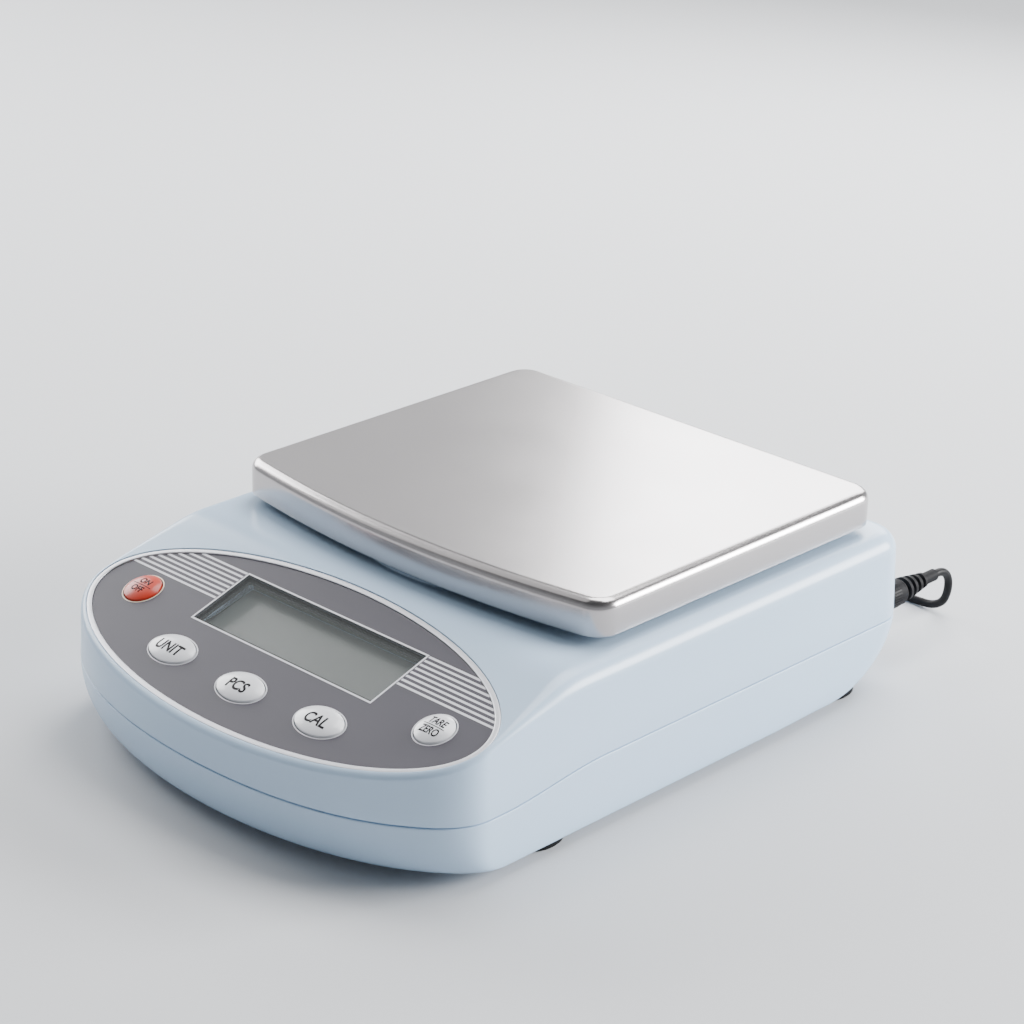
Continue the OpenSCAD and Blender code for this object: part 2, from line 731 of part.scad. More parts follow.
module lower_case() {
  color(shell_blue) difference() {
    union() {
      skin([for (r = lower_rings) mirrored(r)]);
      at_case_fixings() rod(case_boss_r + 1, floor_z - sunk, boss_meet_z);
      at_feet() rod(foot_r + foot_pad_w, floor_z - sunk, floor_z + foot_pad_h);
      at_feet() rod(foot_boss_r, floor_z - sunk, floor_z + foot_boss_h);
      at_pan() at_each(pads) rod(pad_r, floor_z - sunk, plate_z);
      at_each(main_fix) rod(main_post_r, floor_z - sunk, main_z);
      translate([jack_x, (jack_back_y + jack_shelf_y) / 2, 0])
        block([2 * jack_half, jack_l - jack_nose - jack_shelf_short], floor_z - sunk, jack_z - jack_half);
    }
    at_feet() rod(foot_r + seat_gap, 0, foot_top);
    at_feet() rod(case_screw_r, 0, floor_z + foot_boss_h - sunk);
    at_case_fixings() rod(case_well_r, 0, screw_head_z);
    at_case_fixings() rod(case_screw_r + hole_gap, 0, boss_meet_z + 1);
    at_pan() at_each(pads) rod(case_screw_r, floor_z - sunk / 2, plate_z + 1);
    at_each(main_fix) rod(board_screw_r + thread_gap, floor_z - sunk / 2, main_z + 1);
    along_y([jack_x, jack_back_y, jack_z]) rod(jack_nose_r + seat_gap, 0, jack_l + beyond);
  }
}
module case_screws() {
  color("dimgray") at_case_fixings() translate([0, 0, screw_head_z])
    screw(case_screw_r - thread_gap, case_head, boss_meet_z - screw_head_z + case_bite);
}

// Feet
module foot(i) {
  color(black_rubber) translate([FEET[i][1][0], FEET[i][1][1], 0]) rotate_extrude() polygon([
    [foot_well_r, 0], [foot_r - foot_edge, 0], [foot_r, foot_edge], [foot_r, foot_top],
    [case_screw_r, foot_top], [case_screw_r, foot_head_z], [foot_well_r, foot_head_z]
  ]);
}
module foot_screws() {
  color("dimgray") at_feet() translate([0, 0, foot_head_z])
    screw(case_screw_r - thread_gap, foot_head, floor_z + foot_bite - foot_head_z);
}

// Control panel
module panel_ring() {
  color("silver") on_panel() difference() {
    slab(oval(ring_a, ring_b, panel_steps), -pocket_depth, overlay_w + ring_proud);
    slab(oval(ring_a - ring_w, ring_b - ring_w, panel_steps), -beyond, beyond);
  }
}
module panel_overlay() {
  set = ring_w + fit_gap;
  color(panel_grey) difference() {
    on_panel() slab(oval(ring_a - set, ring_b - set, panel_steps), -pocket_depth, overlay_w);
    in_window() slab(rounded(window_w + 2 * fit_gap, window_h + 2 * fit_gap, window_r), -beyond, beyond);
    on_panel() button_holes();
  }
}
module display_lens() {
  color(lens_tint) in_window() slab(rounded(window_w, window_h, window_r), -pocket_depth, overlay_w);
}
module display_shroud() {
  outer = window_opening + 2 * [shroud_wall, shroud_wall];
  color(shroud_grey) in_window() difference() {
    slab(rounded(outer[0], outer[1], window_r + 0.5), lcd_top + fit_gap, panel_under - fit_gap);
    slab(rounded(window_opening[0], window_opening[1], window_r), -beyond, beyond);
  }
}
module lcd_module() {
  glass = [window_w, window_h];
  color(lcd_grey) in_window() {
    block(glass + 2 * [lcd_frame, lcd_frame], board_top, lcd_top - lcd_step);
    block(glass, lcd_top - lcd_step - eps, lcd_top);
  }
}
module display_board() {
  chamfer_end = board_low + board_chamfer[1];
  right = [[board_a - board_chamfer[0], board_low], [board_a, chamfer_end], [board_a, board_high]];
  outline = concat(right, [for (i = [2:-1:0]) [-right[i][0], right[i][1]]]);
  color(board_green) on_panel() difference() {
    union() {
      slab(outline, board_under, board_top);
      translate([ribbon_u, 0, 0]) block([socket_w, socket_d], board_under - socket_h, board_under + eps);
    }
    at_each(board_fix) rod(board_screw_r + run_gap, board_under - 1, board_top + 1);
  }
}
module tact_switches() {
  color("dimgray") on_panel() for (b = BUTTONS) translate([b[1][0], b[1][1], 0]) {
    block([switch_s, switch_s], board_top, board_top + switch_body_h);
    rod(switch_nub_r, board_top + switch_body_h - eps, switch_top);
  }
}
module board_screws() {
  color("gainsboro") on_panel() at_each(board_fix) translate([0, 0, board_under])
    screw(board_screw_r, board_head, board_t + board_bite);
}

// Button caps: retaining flange, straight body and domed top, as steps of inset and height
function dome(share) = button_edge + share * dome_h;
button_steps = [
  [-flange_out, flange_top - flange_t], [-flange_out, flange_top], [0, flange_top], [0, dome(0)],
  [0.35, dome(0.45)], [1.1, dome(0.72)], [2.6, dome(0.92)], [4.2, dome(1)]
];
module button(i, tint) {
  b = BUTTONS[i];
  color(tint) on_panel() translate([b[1][0], b[1][1], 0]) {
    if (b[2] == b[3]) round_cap(b[2]);
    else oval_cap(b[2], b[3]);
    rod(stem_r, stem_end, flange_top - flange_t + run_gap);
  }
}
module round_cap(r) {
  low = flange_top - flange_t;
  rotate_extrude() polygon(concat([[0, low]], [for (s = button_steps) [r - s[0], s[1]]], [[0, dome(1)]]));
}
oval_steps = 20;
function half_oval(a, b, z) = [
  for (i = [0:oval_steps]) let (t = -90 + 360 * i / (2 * oval_steps + 1)) [a * cos(t), b * sin(t), z]
];
module oval_cap(a, b) {
  skin([for (s = button_steps) mirrored(half_oval(a - s[0], b - s[0], s[1]))]);
}

// Weighing pan and what carries it
module weighing_pan() {
  color(steel) skin([for (r = pan_rings) mirrored(r)]);
}
carrier_ends = [for (sx = [-1, 1], sy = [-1, 1]) [sx * arm_reach_x, sy * arm_reach_y]];
hub_fix = [for (a = [90, 210, 330]) hub_fix_r * [cos(a), sin(a)]];
module pan_cushions() {
  color(black_rubber) at_pan() at_each(carrier_ends)
    rod(cushion_r, carrier_top - cushion_pocket, carrier_top + cushion_t);
}
module pan_carrier() {
  color("lightgray") at_pan() difference() {
    union() {
      rod(hub_r, post_top, carrier_top);
      at_each(carrier_ends) rod(cushion_r + cushion_rim, carrier_top - arm_t, carrier_top);
      for (p = carrier_ends) rotate([0, 0, atan2(p[1], p[0])]) carrier_arm(norm(p));
    }
    at_each(carrier_ends) rod(cushion_r + fit_gap, carrier_top - cushion_pocket, carrier_top + 1);
    at_each(hub_fix) rod(board_screw_r + run_gap, post_top - 1, carrier_top + 1);
    at_each(hub_fix) rod(hub_well_r, carrier_top - hub_well_d, carrier_top + 1);
  }
}
module carrier_arm(l) {
  rib_l = l - arm_rib_short;
  slab([[0, -arm_root], [l, -arm_tip], [l, arm_tip], [0, arm_root]], carrier_top - arm_t, carrier_top);
  translate([rib_l / 2, 0, 0])
    block([rib_l, 2 * arm_rib], carrier_top - hub_t + 1, carrier_top - arm_t + sunk);
}
module carrier_screws() {
  color("gainsboro") at_pan() at_each(hub_fix)
    hanging_screw(carrier_top - hub_well_d, board_screw_r, hub_head, hub_t - hub_well_d + hub_bite);
}
module cell_bracket() {
  top = bracket_z + bracket_t;
  color("gainsboro") at_pan() difference() {
    union() {
      translate([0, cell_end - cell_foot[1] / 2, 0]) block(cell_foot, cell_z + cell_s, bracket_z + eps);
      translate([0, (cell_end - bracket_back) / 2, 0])
        block([bracket_w, cell_end + bracket_back], bracket_z, top);
      rod(post_r, bracket_z, post_top);
      translate([0, 0, top - eps]) cylinder(r1 = post_r + post_flare, r2 = post_r - eps, h = post_flare_h);
    }
    for (y = cell_fix) translate([0, y, 0]) rod(cell_screw_r + hole_gap, cell_z, top + 7);
    at_each(hub_fix) rod(board_screw_r + thread_gap, post_top - post_thread, post_top + 1);
  }
}
module load_cell() {
  mid_z = cell_z + cell_s / 2;
  top = cell_z + cell_s;
  tap_r = cell_screw_r + thread_gap;
  color("lightsteelblue") at_pan() difference() {
    block([cell_s, cell_l], cell_z, top);
    for (s = [-1, 1]) translate([0, s * cell_hole_y, mid_z]) rotate([0, 90, 0])
      rod(cell_hole_r, -cell_s, cell_s);
    block([2 * cell_s, 2 * cell_hole_y], mid_z - cell_slot / 2, mid_z + cell_slot / 2);
    for (y = cell_fix) translate([0, -y, 0]) rod(tap_r, cell_z - 1, cell_z + cell_thread);
    for (y = cell_fix) translate([0, y, 0]) rod(tap_r, top - cell_thread, top + 1);
  }
}
module cell_plate() {
  top = plate_z + plate_t;
  color("silver") at_pan() difference() {
    union() {
      block(2 * [pad_x + plate_rim, pad_y + plate_rim], plate_z, top);
      translate([0, cell_foot[1] / 2 - cell_end, 0]) block(cell_foot, top - eps, cell_z);
    }
    for (y = cell_fix) translate([0, -y, 0]) rod(cell_screw_r + hole_gap, plate_z - 1, cell_z + 1);
    at_each(pads) rod(case_screw_r + hole_gap, plate_z - 1, top + 1);
    translate([0, stop_y, 0]) rod(cell_screw_r + thread_gap, plate_z - 1, top + 1);
  }
}
module cell_screws() {
  color("dimgray") at_pan() {
    for (y = cell_fix) translate([0, -y, plate_z])
      screw(cell_screw_r, cell_head, cell_z - plate_z + cell_bite);
    at_each(pads)
      hanging_screw(plate_z + plate_t, case_screw_r - thread_gap, pad_head, plate_t + plate_lift);
  }
}
module bracket_screws() {
  color("dimgray") at_pan() for (y = cell_fix) translate([0, y, 0])
    hanging_screw(bracket_z + bracket_t, cell_screw_r, cell_head, bracket_t + plate_t + cell_bite);
}
module overload_stop() {
  nut_z = plate_z + plate_t;
  color("goldenrod") at_pan() translate([0, stop_y, 0]) {
    rod(cell_screw_r, plate_z - stop_below, cell_z - weigh_travel - hole_gap);
    rotate(30) rod(cell_head[0], nut_z, nut_z + stop_nut_t, $fn = 6);
  }
}

// Electronics
module main_board() {
  top = main_z + board_t;
  color(board_green) difference() {
    translate(main_mid) {
      block(main_size, main_z, top);
      translate([0, socket_inset - main_half[1], 0]) block([socket_w, socket_d], top - eps, top + socket_h);
      translate(chip_at) block(chip_size, top - eps, top + chip_size[2]);
      translate(converter_at) block(converter_size, top - eps, top + converter_size[2]);
      translate(large_can_at) rod(large_can[0], top - eps, top + large_can[1]);
      translate(small_can_at) rod(small_can[0], top - eps, top + small_can[1]);
    }
    at_each(main_fix) rod(board_screw_r + run_gap, main_z - 1, top + 1);
  }
}
module main_board_screws() {
  color("gainsboro") at_each(main_fix)
    hanging_screw(main_z + board_t, board_screw_r, board_head, board_t + main_bite);
}
ribbon_steps = 14;
module ribbon_cable() {
  w0 = board_under - socket_h - ribbon_drop;
  from = [oval_y - w0 * sin(panel_tilt), panel_z + w0 * cos(panel_tilt) - ribbon_t];
  to = [main_mid[1] + socket_inset - main_half[1], main_z + board_t + socket_h + hole_gap];
  path = [
    for (i = [0:ribbon_steps])
      let (s = i / ribbon_steps) [from[0] + (to[0] - from[0]) * s, blend(from[1], to[1], s)]
  ];
  outline = concat(path, [for (i = [ribbon_steps:-1:0]) path[i] + [0, ribbon_t]]);
  color("lightgray") translate([ribbon_u - ribbon_w / 2, 0, 0]) rotate([90, 0, 90])
    linear_extrude(ribbon_w) polygon(outline);
}

// Power socket
module dc_jack() {
  color(black_rubber) along_y([jack_x, jack_face_y, jack_z]) {
    difference() {
      union() {
        block([2 * jack_half, 2 * jack_half], -jack_l, -jack_nose);
        rod(jack_nose_r, -jack_nose - sunk, 0);
      }
      rod(jack_bore_r, -jack_depth, 1);
    }
    rod(jack_pin_r, -jack_depth - sunk, -jack_pin_set);
  }
}

// Lead: barrel plug, free cord, coil, tie and wall adapter
function rib_profile(i) =
  let (z = rib_from + i * rib_pitch, crest = plug_r - 0.3 - 0.5 * i, root = crest - rib_h)
    [[root, z], [root, z + 1], [crest, z + 1.5], [crest - 0.2, z + rib_pitch - 0.4]];
module dc_plug() {
  bore = jack_pin_r + plug_fit;
  barrel = jack_bore_r - plug_fit;
  color(black_rubber) along_y([jack_x, plug_y, jack_z]) rotate_extrude() polygon(concat(
    [[bore, -barrel_l], [barrel, -barrel_l], [barrel, 0], [plug_r - plug_edge, 0], [plug_r, plug_edge]],
    [[plug_r, rib_from - 1], [plug_r - plug_edge, rib_from]],
    [for (i = [0:rib_count - 1]) each rib_profile(i)],
    [[neck_r, rib_from + rib_count * rib_pitch], [neck_r, plug_l], [0, plug_l]],
    [[0, plug_web], [bore, plug_web]]
  ));
}
module power_cord() {
  color(black_rubber) tube([for (p = route) lead_at + p], cord_r, 8);
}
module adapter_cord() {
  color(black_rubber) tube([for (p = tail) lead_at + p], cord_r, 8);
}
module cord_coil() {
  n = len(coil_path);
  apart = [for (i = [0:n - 1], j = [i + coil_steps / 2:1:n - 1]) norm(coil_path[i] - coil_path[j])];
  echo(least_gap_between_turns = min(apart) - cord_d);
  color(black_rubber) tube([for (p = coil_path) lead_at + p], cord_r, 6);
}
module coil_tie() {
  w = coil_out - coil_in + cord_d + 2 * tie_room[0];
  h = 3 * coil_pitch + cord_d + 2 * tie_room[1];
  color("black") translate(lead_at + [coil_mid[0], coil_mid[1], 0]) rotate([0, 0, -45])
    translate([(coil_out + coil_in) / 2, tie_w / 2, coil_z + 1.5 * coil_pitch]) rotate([90, 0, 0])
      linear_extrude(tie_w) difference() {
        polygon(rounded(w + 2 * tie_t, h + 2 * tie_t, cord_r + tie_t));
        polygon(rounded(w, h, cord_r));
      }
}
function relief_rib(i) =
  let (z = 2 + 3.4 * i, root = 2.9 - 0.3 * i)
    [[root, z], [root, z + 1.2], [root + 0.35, z + 1.4], [root + 0.15, z + 3.4]];
module power_adapter() {
  inner = [adapter_l - 2 * groove, adapter_h - 2 * groove];
  color(black_rubber) {
    along_y(lead_at + [adapter_x, adapter_y, adapter_h / 2]) {
      slab(rounded(adapter_l, adapter_h, adapter_r), 0, adapter_t - adapter_seam - groove);
      slab(rounded(inner[0], inner[1], adapter_r - groove), groove, adapter_t - groove);
      slab(rounded(adapter_l, adapter_h, adapter_r), adapter_t - adapter_seam, adapter_t);
    }
    translate(lead_at + tail_end - [relief_l, 0, 0]) rotate([0, 90, 0]) rotate_extrude() polygon(concat(
      [[0, -2], [relief_r, -2], [relief_r - 0.2, 2]],
      [for (i = [0:1]) each relief_rib(i)],
      [[neck_r, 9], [neck_r, relief_l], [0, relief_l]]
    ));
  }
}
module adapter_blades() {
  upper = [[0, blade_w / 2], [blade_l - blade_tip[0], blade_w / 2], [blade_l, blade_w / 2 - blade_tip[1]]];
  outline = concat([for (p = upper) [p[0], -p[1]]], [for (i = [2:-1:0]) upper[i]]);
  face = lead_at + [adapter_x, adapter_y + adapter_t, adapter_h / 2];
  color("gold") for (s = [-1, 1]) translate(face + [(s * blade_gap - blade_t) / 2, 0, 0])
    rotate([90, 0, 90]) linear_extrude(blade_t) difference() {
      polygon(outline);
      translate([blade_l - blade_hole_from_tip, 0]) circle(r = blade_hole_r);
    }
}

upper_case();
lower_case();
panel_ring();
panel_overlay();
display_lens();
display_shroud();
lcd_module();
display_board();
tact_switches();
board_screws();
button(0, "orangered");  // button_power
button(1, white_cap);  // button_tare
button(2, white_cap);  // button_unit
button(3, white_cap);  // button_pcs
button(4, white_cap);  // button_cal
weighing_pan();
pan_cushions();
pan_carrier();
carrier_screws();
cell_bracket();
bracket_screws();
load_cell();
cell_plate();
cell_screws();
overload_stop();
main_board();
main_board_screws();
ribbon_cable();
case_screws();
foot(0);  // foot_front_left
foot(1);  // foot_front_right
foot(2);  // foot_rear_left
foot(3);  // foot_rear_right
foot_screws();
dc_jack();
dc_plug();
power_cord();
cord_coil();
coil_tie();
adapter_cord();
power_adapter();
adapter_blades();
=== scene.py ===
# %% [markdown]
# # An electronic top-pan balance
# The object is a bench balance: a pale plastic housing in two halves, a grey oval control panel that
# slopes towards the user, a steel pan that lifts off, black rubber feet and a low-voltage lead. The
# imported model holds its construction, so this lesson loads that model first, leaves every part where it
# is, and dresses it.

# %% Load the imported model
import json
import math

import bmesh
import bpy
import numpy as np
from mathutils import Matrix, Vector


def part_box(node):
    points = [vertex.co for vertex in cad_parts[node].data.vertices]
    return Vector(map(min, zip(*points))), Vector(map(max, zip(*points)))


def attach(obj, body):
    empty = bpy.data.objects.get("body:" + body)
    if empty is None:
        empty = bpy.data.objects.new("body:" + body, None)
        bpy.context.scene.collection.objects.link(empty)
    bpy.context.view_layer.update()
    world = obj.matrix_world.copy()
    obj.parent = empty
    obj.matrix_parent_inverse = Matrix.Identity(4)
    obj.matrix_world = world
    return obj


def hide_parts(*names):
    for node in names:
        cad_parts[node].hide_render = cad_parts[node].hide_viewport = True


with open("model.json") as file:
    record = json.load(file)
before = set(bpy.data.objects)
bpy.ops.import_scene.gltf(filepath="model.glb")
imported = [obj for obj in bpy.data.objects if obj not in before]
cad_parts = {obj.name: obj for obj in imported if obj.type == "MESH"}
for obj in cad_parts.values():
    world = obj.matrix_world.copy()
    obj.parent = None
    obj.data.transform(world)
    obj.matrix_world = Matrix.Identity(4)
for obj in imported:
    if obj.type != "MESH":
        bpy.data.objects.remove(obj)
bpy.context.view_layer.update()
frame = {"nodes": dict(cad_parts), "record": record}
nodes = frame["nodes"]
scene = bpy.context.scene
MM = 0.001

# %% [markdown]
# ## The camera
# A product picture is taken from far away with a long lens, so that the edges stay nearly parallel. The
# view is given by where the camera stands, the way it looks (turned round the object and raised above it)
# and a slight roll. A camera looks along its own -Z, so the columns of its matrix are its right, its up
# and its back.

# %% Camera
CAMERA_AT = Vector((0.6039, -0.6117, 0.4327))
CAMERA_LENS = 100.3
CAMERA_AZIMUTH = math.radians(43.786)
CAMERA_ELEVATION = math.radians(22.907)
CAMERA_ROLL = math.radians(1.338)


def add_camera():
    sine = math.sin(CAMERA_AZIMUTH)
    cosine = math.cos(CAMERA_AZIMUTH)
    flat = math.cos(CAMERA_ELEVATION)
    back = Vector((sine * flat, -cosine * flat, math.sin(CAMERA_ELEVATION)))
    right = Vector((cosine, sine, 0))
    up = back.cross(right)
    rolled_right = right * math.cos(CAMERA_ROLL) + up * math.sin(CAMERA_ROLL)
    rolled_up = up * math.cos(CAMERA_ROLL) - right * math.sin(CAMERA_ROLL)
    camera = bpy.data.objects.new("camera", bpy.data.cameras.new("camera"))
    camera.data.lens = CAMERA_LENS
    turn = Matrix((rolled_right, rolled_up, back)).transposed().to_4x4()
    camera.matrix_world = Matrix.Translation(CAMERA_AT) @ turn
    scene.collection.objects.link(camera)
    scene.camera = camera


add_camera()
print("camera stands", round(CAMERA_AT.length, 2), "m from the middle of the base")

# %% [markdown]
# ## The lead
# A thin two-core lead leaves the barrel plug at the back, drops to the table and runs to a wall adapter.
# Most of it is spare, so it is wound into a flat coil of four layers behind the housing. It is one
# unbroken cord: the free stretches are listed points rounded by a Catmull-Rom curve, and the
# turns follow a formula that spirals in and out again and climbs a layer where it turns back. A curve
# with a round bevel is the natural form; its thickness is given as the radius of the points, so that the
# box of the curve is the box of the cord.

# %% Lead
CORD_D = 3.0
LEAD_FROM = np.array([71.5, 160.8, 0.0])
LEAD_ROUTE = [
    (0, 0, 21), (0, 3, 21), (0, 5.7, 20.3), (-0.1, 8.1, 18.6), (-0.3, 9.8, 16), (-0.7, 10.7, 12.8),
    (-1.6, 11.4, 9.4), (-3.2, 12.1, 6.3), (-6, 12.8, 3.7), (-10, 13.3, 2.1), (-16, 13.5, 1.6),
    (-23, 13.3, 1.6), (-31, 12.5, 1.6), (-39, 11.3, 1.7), (-47, 10.2, 2),
    (-53, 9.4, 2.3), (-56.5, 9.4, 2.3),
]
COIL_TURNS = 12
COIL_LAYERS = 4
LAYER_TURNS = COIL_TURNS / COIL_LAYERS
COIL_STEPS = 40
COIL_CLIMB = 0.5
COIL_SPACE = 0.46
COIL_PITCH = CORD_D + COIL_SPACE
COIL_OUTER = 22.2
COIL_LOW = 2.3
COIL_TOP = COIL_LOW + (COIL_LAYERS - 1) * COIL_PITCH
COIL_MIDDLE = (-59.5, 9.4 - COIL_OUTER)
LEAD_TAIL = [
    (-62.5, 9.4, COIL_TOP), (-66.5, 9.4, COIL_TOP), (-72.5, 7.8, COIL_TOP - 0.8),
    (-77, 5.1, COIL_TOP - 1.2), (-81, 1.2, COIL_TOP - 1.2), (-84.5, -2.6, COIL_TOP - 0.6),
    (-87.8, -4, COIL_TOP), (-91.5, -4, COIL_TOP),
]


def smooth(t):
    t = np.clip(t, 0.0, 1.0)
    return t * t * (3 - 2 * t)


def coil_point(t):
    share = t % (2 * LAYER_TURNS)
    radius = COIL_OUTER - COIL_PITCH * min(share, 2 * LAYER_TURNS - share)
    climb_from = [LAYER_TURNS * k - COIL_CLIMB / 2 for k in range(1, COIL_LAYERS)]
    climb = sum(smooth((t - start) / COIL_CLIMB) for start in climb_from)
    angle = math.radians(90 + 360 * t)
    x = COIL_MIDDLE[0] + radius * math.cos(angle)
    y = COIL_MIDDLE[1] + radius * math.sin(angle)
    return (x, y, COIL_LOW + COIL_PITCH * climb)


def rounded_path(points, steps=5):
    p = np.array(points, float)
    p = np.vstack([2 * p[0] - p[1], p, 2 * p[-1] - p[-2]])
    made = []
    for a, b, c, d in zip(p, p[1:], p[2:], p[3:]):
        for t in np.arange(steps) / steps:
            square = 2 * a - 5 * b + 4 * c - d
            cube = 3 * b - a - 3 * c + d
            made.append((2 * b + (c - a) * t + square * t**2 + cube * t**3) / 2)
    return np.vstack([made, p[-2]])


def lead_points():
    turns = [coil_point(i / COIL_STEPS) for i in range(COIL_TURNS * COIL_STEPS + 1)]
    parts = [rounded_path(LEAD_ROUTE), np.array(turns), rounded_path(LEAD_TAIL)]
    return (np.vstack(parts) + LEAD_FROM) * MM


def cord_curve(name, points, diameter):
    curve = bpy.data.curves.new(name, "CURVE")
    curve.dimensions = "3D"
    curve.bevel_depth = 1.0
    curve.bevel_resolution = 4
    curve.use_fill_caps = True
    spline = curve.splines.new("POLY")
    spline.points.add(len(points) - 1)
    spline.points.foreach_set("co", np.hstack([points, np.ones((len(points), 1))]).ravel())
    spline.points.foreach_set("radius", np.full(len(points), diameter / 2))
    spline.use_smooth = True
    piece = bpy.data.objects.new(name, curve)
    scene.collection.objects.link(piece)
    return piece


lead_path = lead_points()
lead_cord = cord_curve("lead_cord", lead_path, CORD_D * MM)
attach(lead_cord, "lead")
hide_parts("power_cord", "cord_coil", "adapter_cord")

# %% [markdown]
# ## Writing node trees
# Every finish is a small node tree that ends in one Principled shader, and what repeats on the object
# comes from Geometry Nodes trees. Short classes keep both readable. A Wire stands for an output socket,
# and arithmetic on it adds Math nodes. A Tree adds any other node by its type, its settings and its
# sockets. A Finish is the tree of a material. Patterns read Object coordinates, which are metres of the
# real object here, because every piece sits at the origin with its place in its mesh. The sockets of a
# Mix node share their names, so they go by number.

# %% Wires, trees and finishes
class Wire:
    """An output socket; arithmetic on it adds Math nodes."""

    def __init__(self, tree, socket):
        self.tree = tree
        self.socket = socket

    def __add__(self, other):
        return self.tree.math("ADD", self, other)

    def __sub__(self, other):
        return self.tree.math("SUBTRACT", self, other)

    def __rsub__(self, other):
        return self.tree.math("SUBTRACT", other, self)

    def __mul__(self, other):
        return self.tree.math("MULTIPLY", self, other)

    def __truediv__(self, other):
        return self.tree.math("DIVIDE", self, other)

    def __mod__(self, other):
        return self.tree.math("MODULO", self, other)

    def __pow__(self, other):
        return self.tree.math("POWER", self, other)

    __radd__ = __add__
    __rmul__ = __mul__


class Tree:
    """A node tree under construction."""

    def __init__(self, tree):
        self.tree = tree

    def put(self, socket, value):
        if isinstance(value, Wire):
            self.tree.links.new(value.socket, socket)
        else:
            socket.default_value = value

    def node(self, kind, settings, sockets, out=0):
        made = self.tree.nodes.new(kind)
        for key, value in settings.items():
            setattr(made, key, value)
        for key, value in sockets.items():
            self.put(made.inputs[key], value)
        return Wire(self, made.outputs[out])

    def math(self, operation, first, second=0.0):
        return self.node("ShaderNodeMath", {"operation": operation}, {0: first, 1: second})


MIX_SHARE, MIX_FIRST, MIX_SECOND, MIX_RESULT = 0, 6, 7, 2


class Finish(Tree):
    """A material under construction, with one Principled shader at its end."""

    def __init__(self, name):
        self.material = bpy.data.materials.new(name)
        self.material.use_nodes = True
        super().__init__(self.material.node_tree)
        self.shader = self.tree.nodes["Principled BSDF"]
        self.place = self.node("ShaderNodeTexCoord", {}, {}, "Object")

    def set(self, **sockets):
        for key, value in sockets.items():
            self.put(self.shader.inputs[key.replace("_", " ")], value)
        return self.material

    def noise(self, per_mm, detail=2.0, stretch=(1, 1, 1)):
        at = self.node("ShaderNodeMapping", {}, {"Vector": self.place, "Scale": stretch})
        sockets = {"Vector": at, "Scale": per_mm / MM, "Detail": detail}
        return self.node("ShaderNodeTexNoise", {}, sockets)

    def between(self, share, first, second):
        sockets = {MIX_SHARE: share, MIX_FIRST: first, MIX_SECOND: second}
        return self.node("ShaderNodeMix", {"data_type": "RGBA"}, sockets, MIX_RESULT)

    def bump(self, height, depth_mm):
        return self.node("ShaderNodeBump", {}, {"Height": height, "Distance": depth_mm * MM})


def srgb(red, green, blue):
    made = []
    for level in (red / 255, green / 255, blue / 255):
        made.append(level / 12.92 if level <= 0.04045 else ((level + 0.055) / 1.055) ** 2.4)
    return (*made, 1.0)


print("finishes are written with", Wire.__name__, "and", Finish.__name__)

# %% [markdown]
# ## Plastics, rubber and inks
# The housing is moulded ABS: a smooth, faintly blue-white plastic with a soft gloss, so its colour drifts
# a little and its surface has the very fine orange peel of a polished mould. The panel is a printed grey
# film with a fine matte grain. Rubber and vinyl are nearly black and rough. The domed key caps are
# clear-coated.

# %% Plastics
COAT_ROUGHNESS = 0.08
DRIFT_PER_MM, PEEL_PER_MM, HAZE_PER_MM = 0.012, 0.9, 0.2
HAZE = 0.06


def moulded(name, low, high, roughness, peel_mm, coat=0.0):
    finish = Finish(name)
    drift = finish.noise(DRIFT_PER_MM, 3.0)
    peel = finish.noise(PEEL_PER_MM, 2.0)
    colour = finish.between(drift, low, high)
    rough = roughness + HAZE * (finish.noise(HAZE_PER_MM, 3.0) - 0.5)
    finish.set(Coat_Weight=coat, Coat_Roughness=COAT_ROUGHNESS)
    return finish.set(Base_Color=colour, Roughness=rough, Normal=finish.bump(peel, peel_mm))


shell_plastic = moulded("shell_plastic", srgb(178, 203, 228), srgb(185, 209, 233), 0.25, 0.005)
dark_plastic = moulded("dark_plastic", srgb(26, 26, 28), srgb(34, 34, 36), 0.45, 0.02)
carrier_plastic = moulded("carrier_plastic", srgb(186, 188, 192), srgb(198, 200, 203), 0.5, 0.02)
white_cap = moulded("white_cap", srgb(220, 221, 226), srgb(227, 228, 232), 0.26, 0.003, 0.3)
power_cap = moulded("power_cap", srgb(182, 38, 8), srgb(192, 48, 14), 0.34, 0.003, 0.1)
ribbon_grey = moulded("ribbon_grey", srgb(176, 176, 178), srgb(190, 190, 192), 0.55, 0.02)


def panel_film():
    finish = Finish("panel_film")
    grain = finish.noise(per_mm=2.6, detail=1.0)
    drift = finish.noise(per_mm=0.02, detail=2.0)
    colour = finish.between(drift, srgb(64, 62, 71), srgb(70, 68, 77))
    rough = 0.46 + 0.1 * grain
    bump = finish.bump(grain, 0.008)
    return finish.set(Base_Color=colour, Roughness=rough, Normal=bump, Specular_IOR_Level=0.3)


def soft_black(name, level, roughness, grain_per_mm, grain_mm):
    finish = Finish(name)
    grain = finish.noise(grain_per_mm, 3.0)
    colour = finish.between(grain, srgb(level, level, level + 2), srgb(level + 12, level + 12, level + 15))
    rough = roughness + 0.15 * (grain - 0.5)
    bump = finish.bump(grain, grain_mm)
    return finish.set(Base_Color=colour, Roughness=rough, Normal=bump, Specular_IOR_Level=0.12)


def ink(name, low, high, roughness):
    finish = Finish(name)
    cover = finish.noise(per_mm=3.5, detail=2.0)
    colour = finish.between(cover, low, high)
    return finish.set(Base_Color=colour, Roughness=roughness + 0.1 * cover, Specular_IOR_Level=0.15)


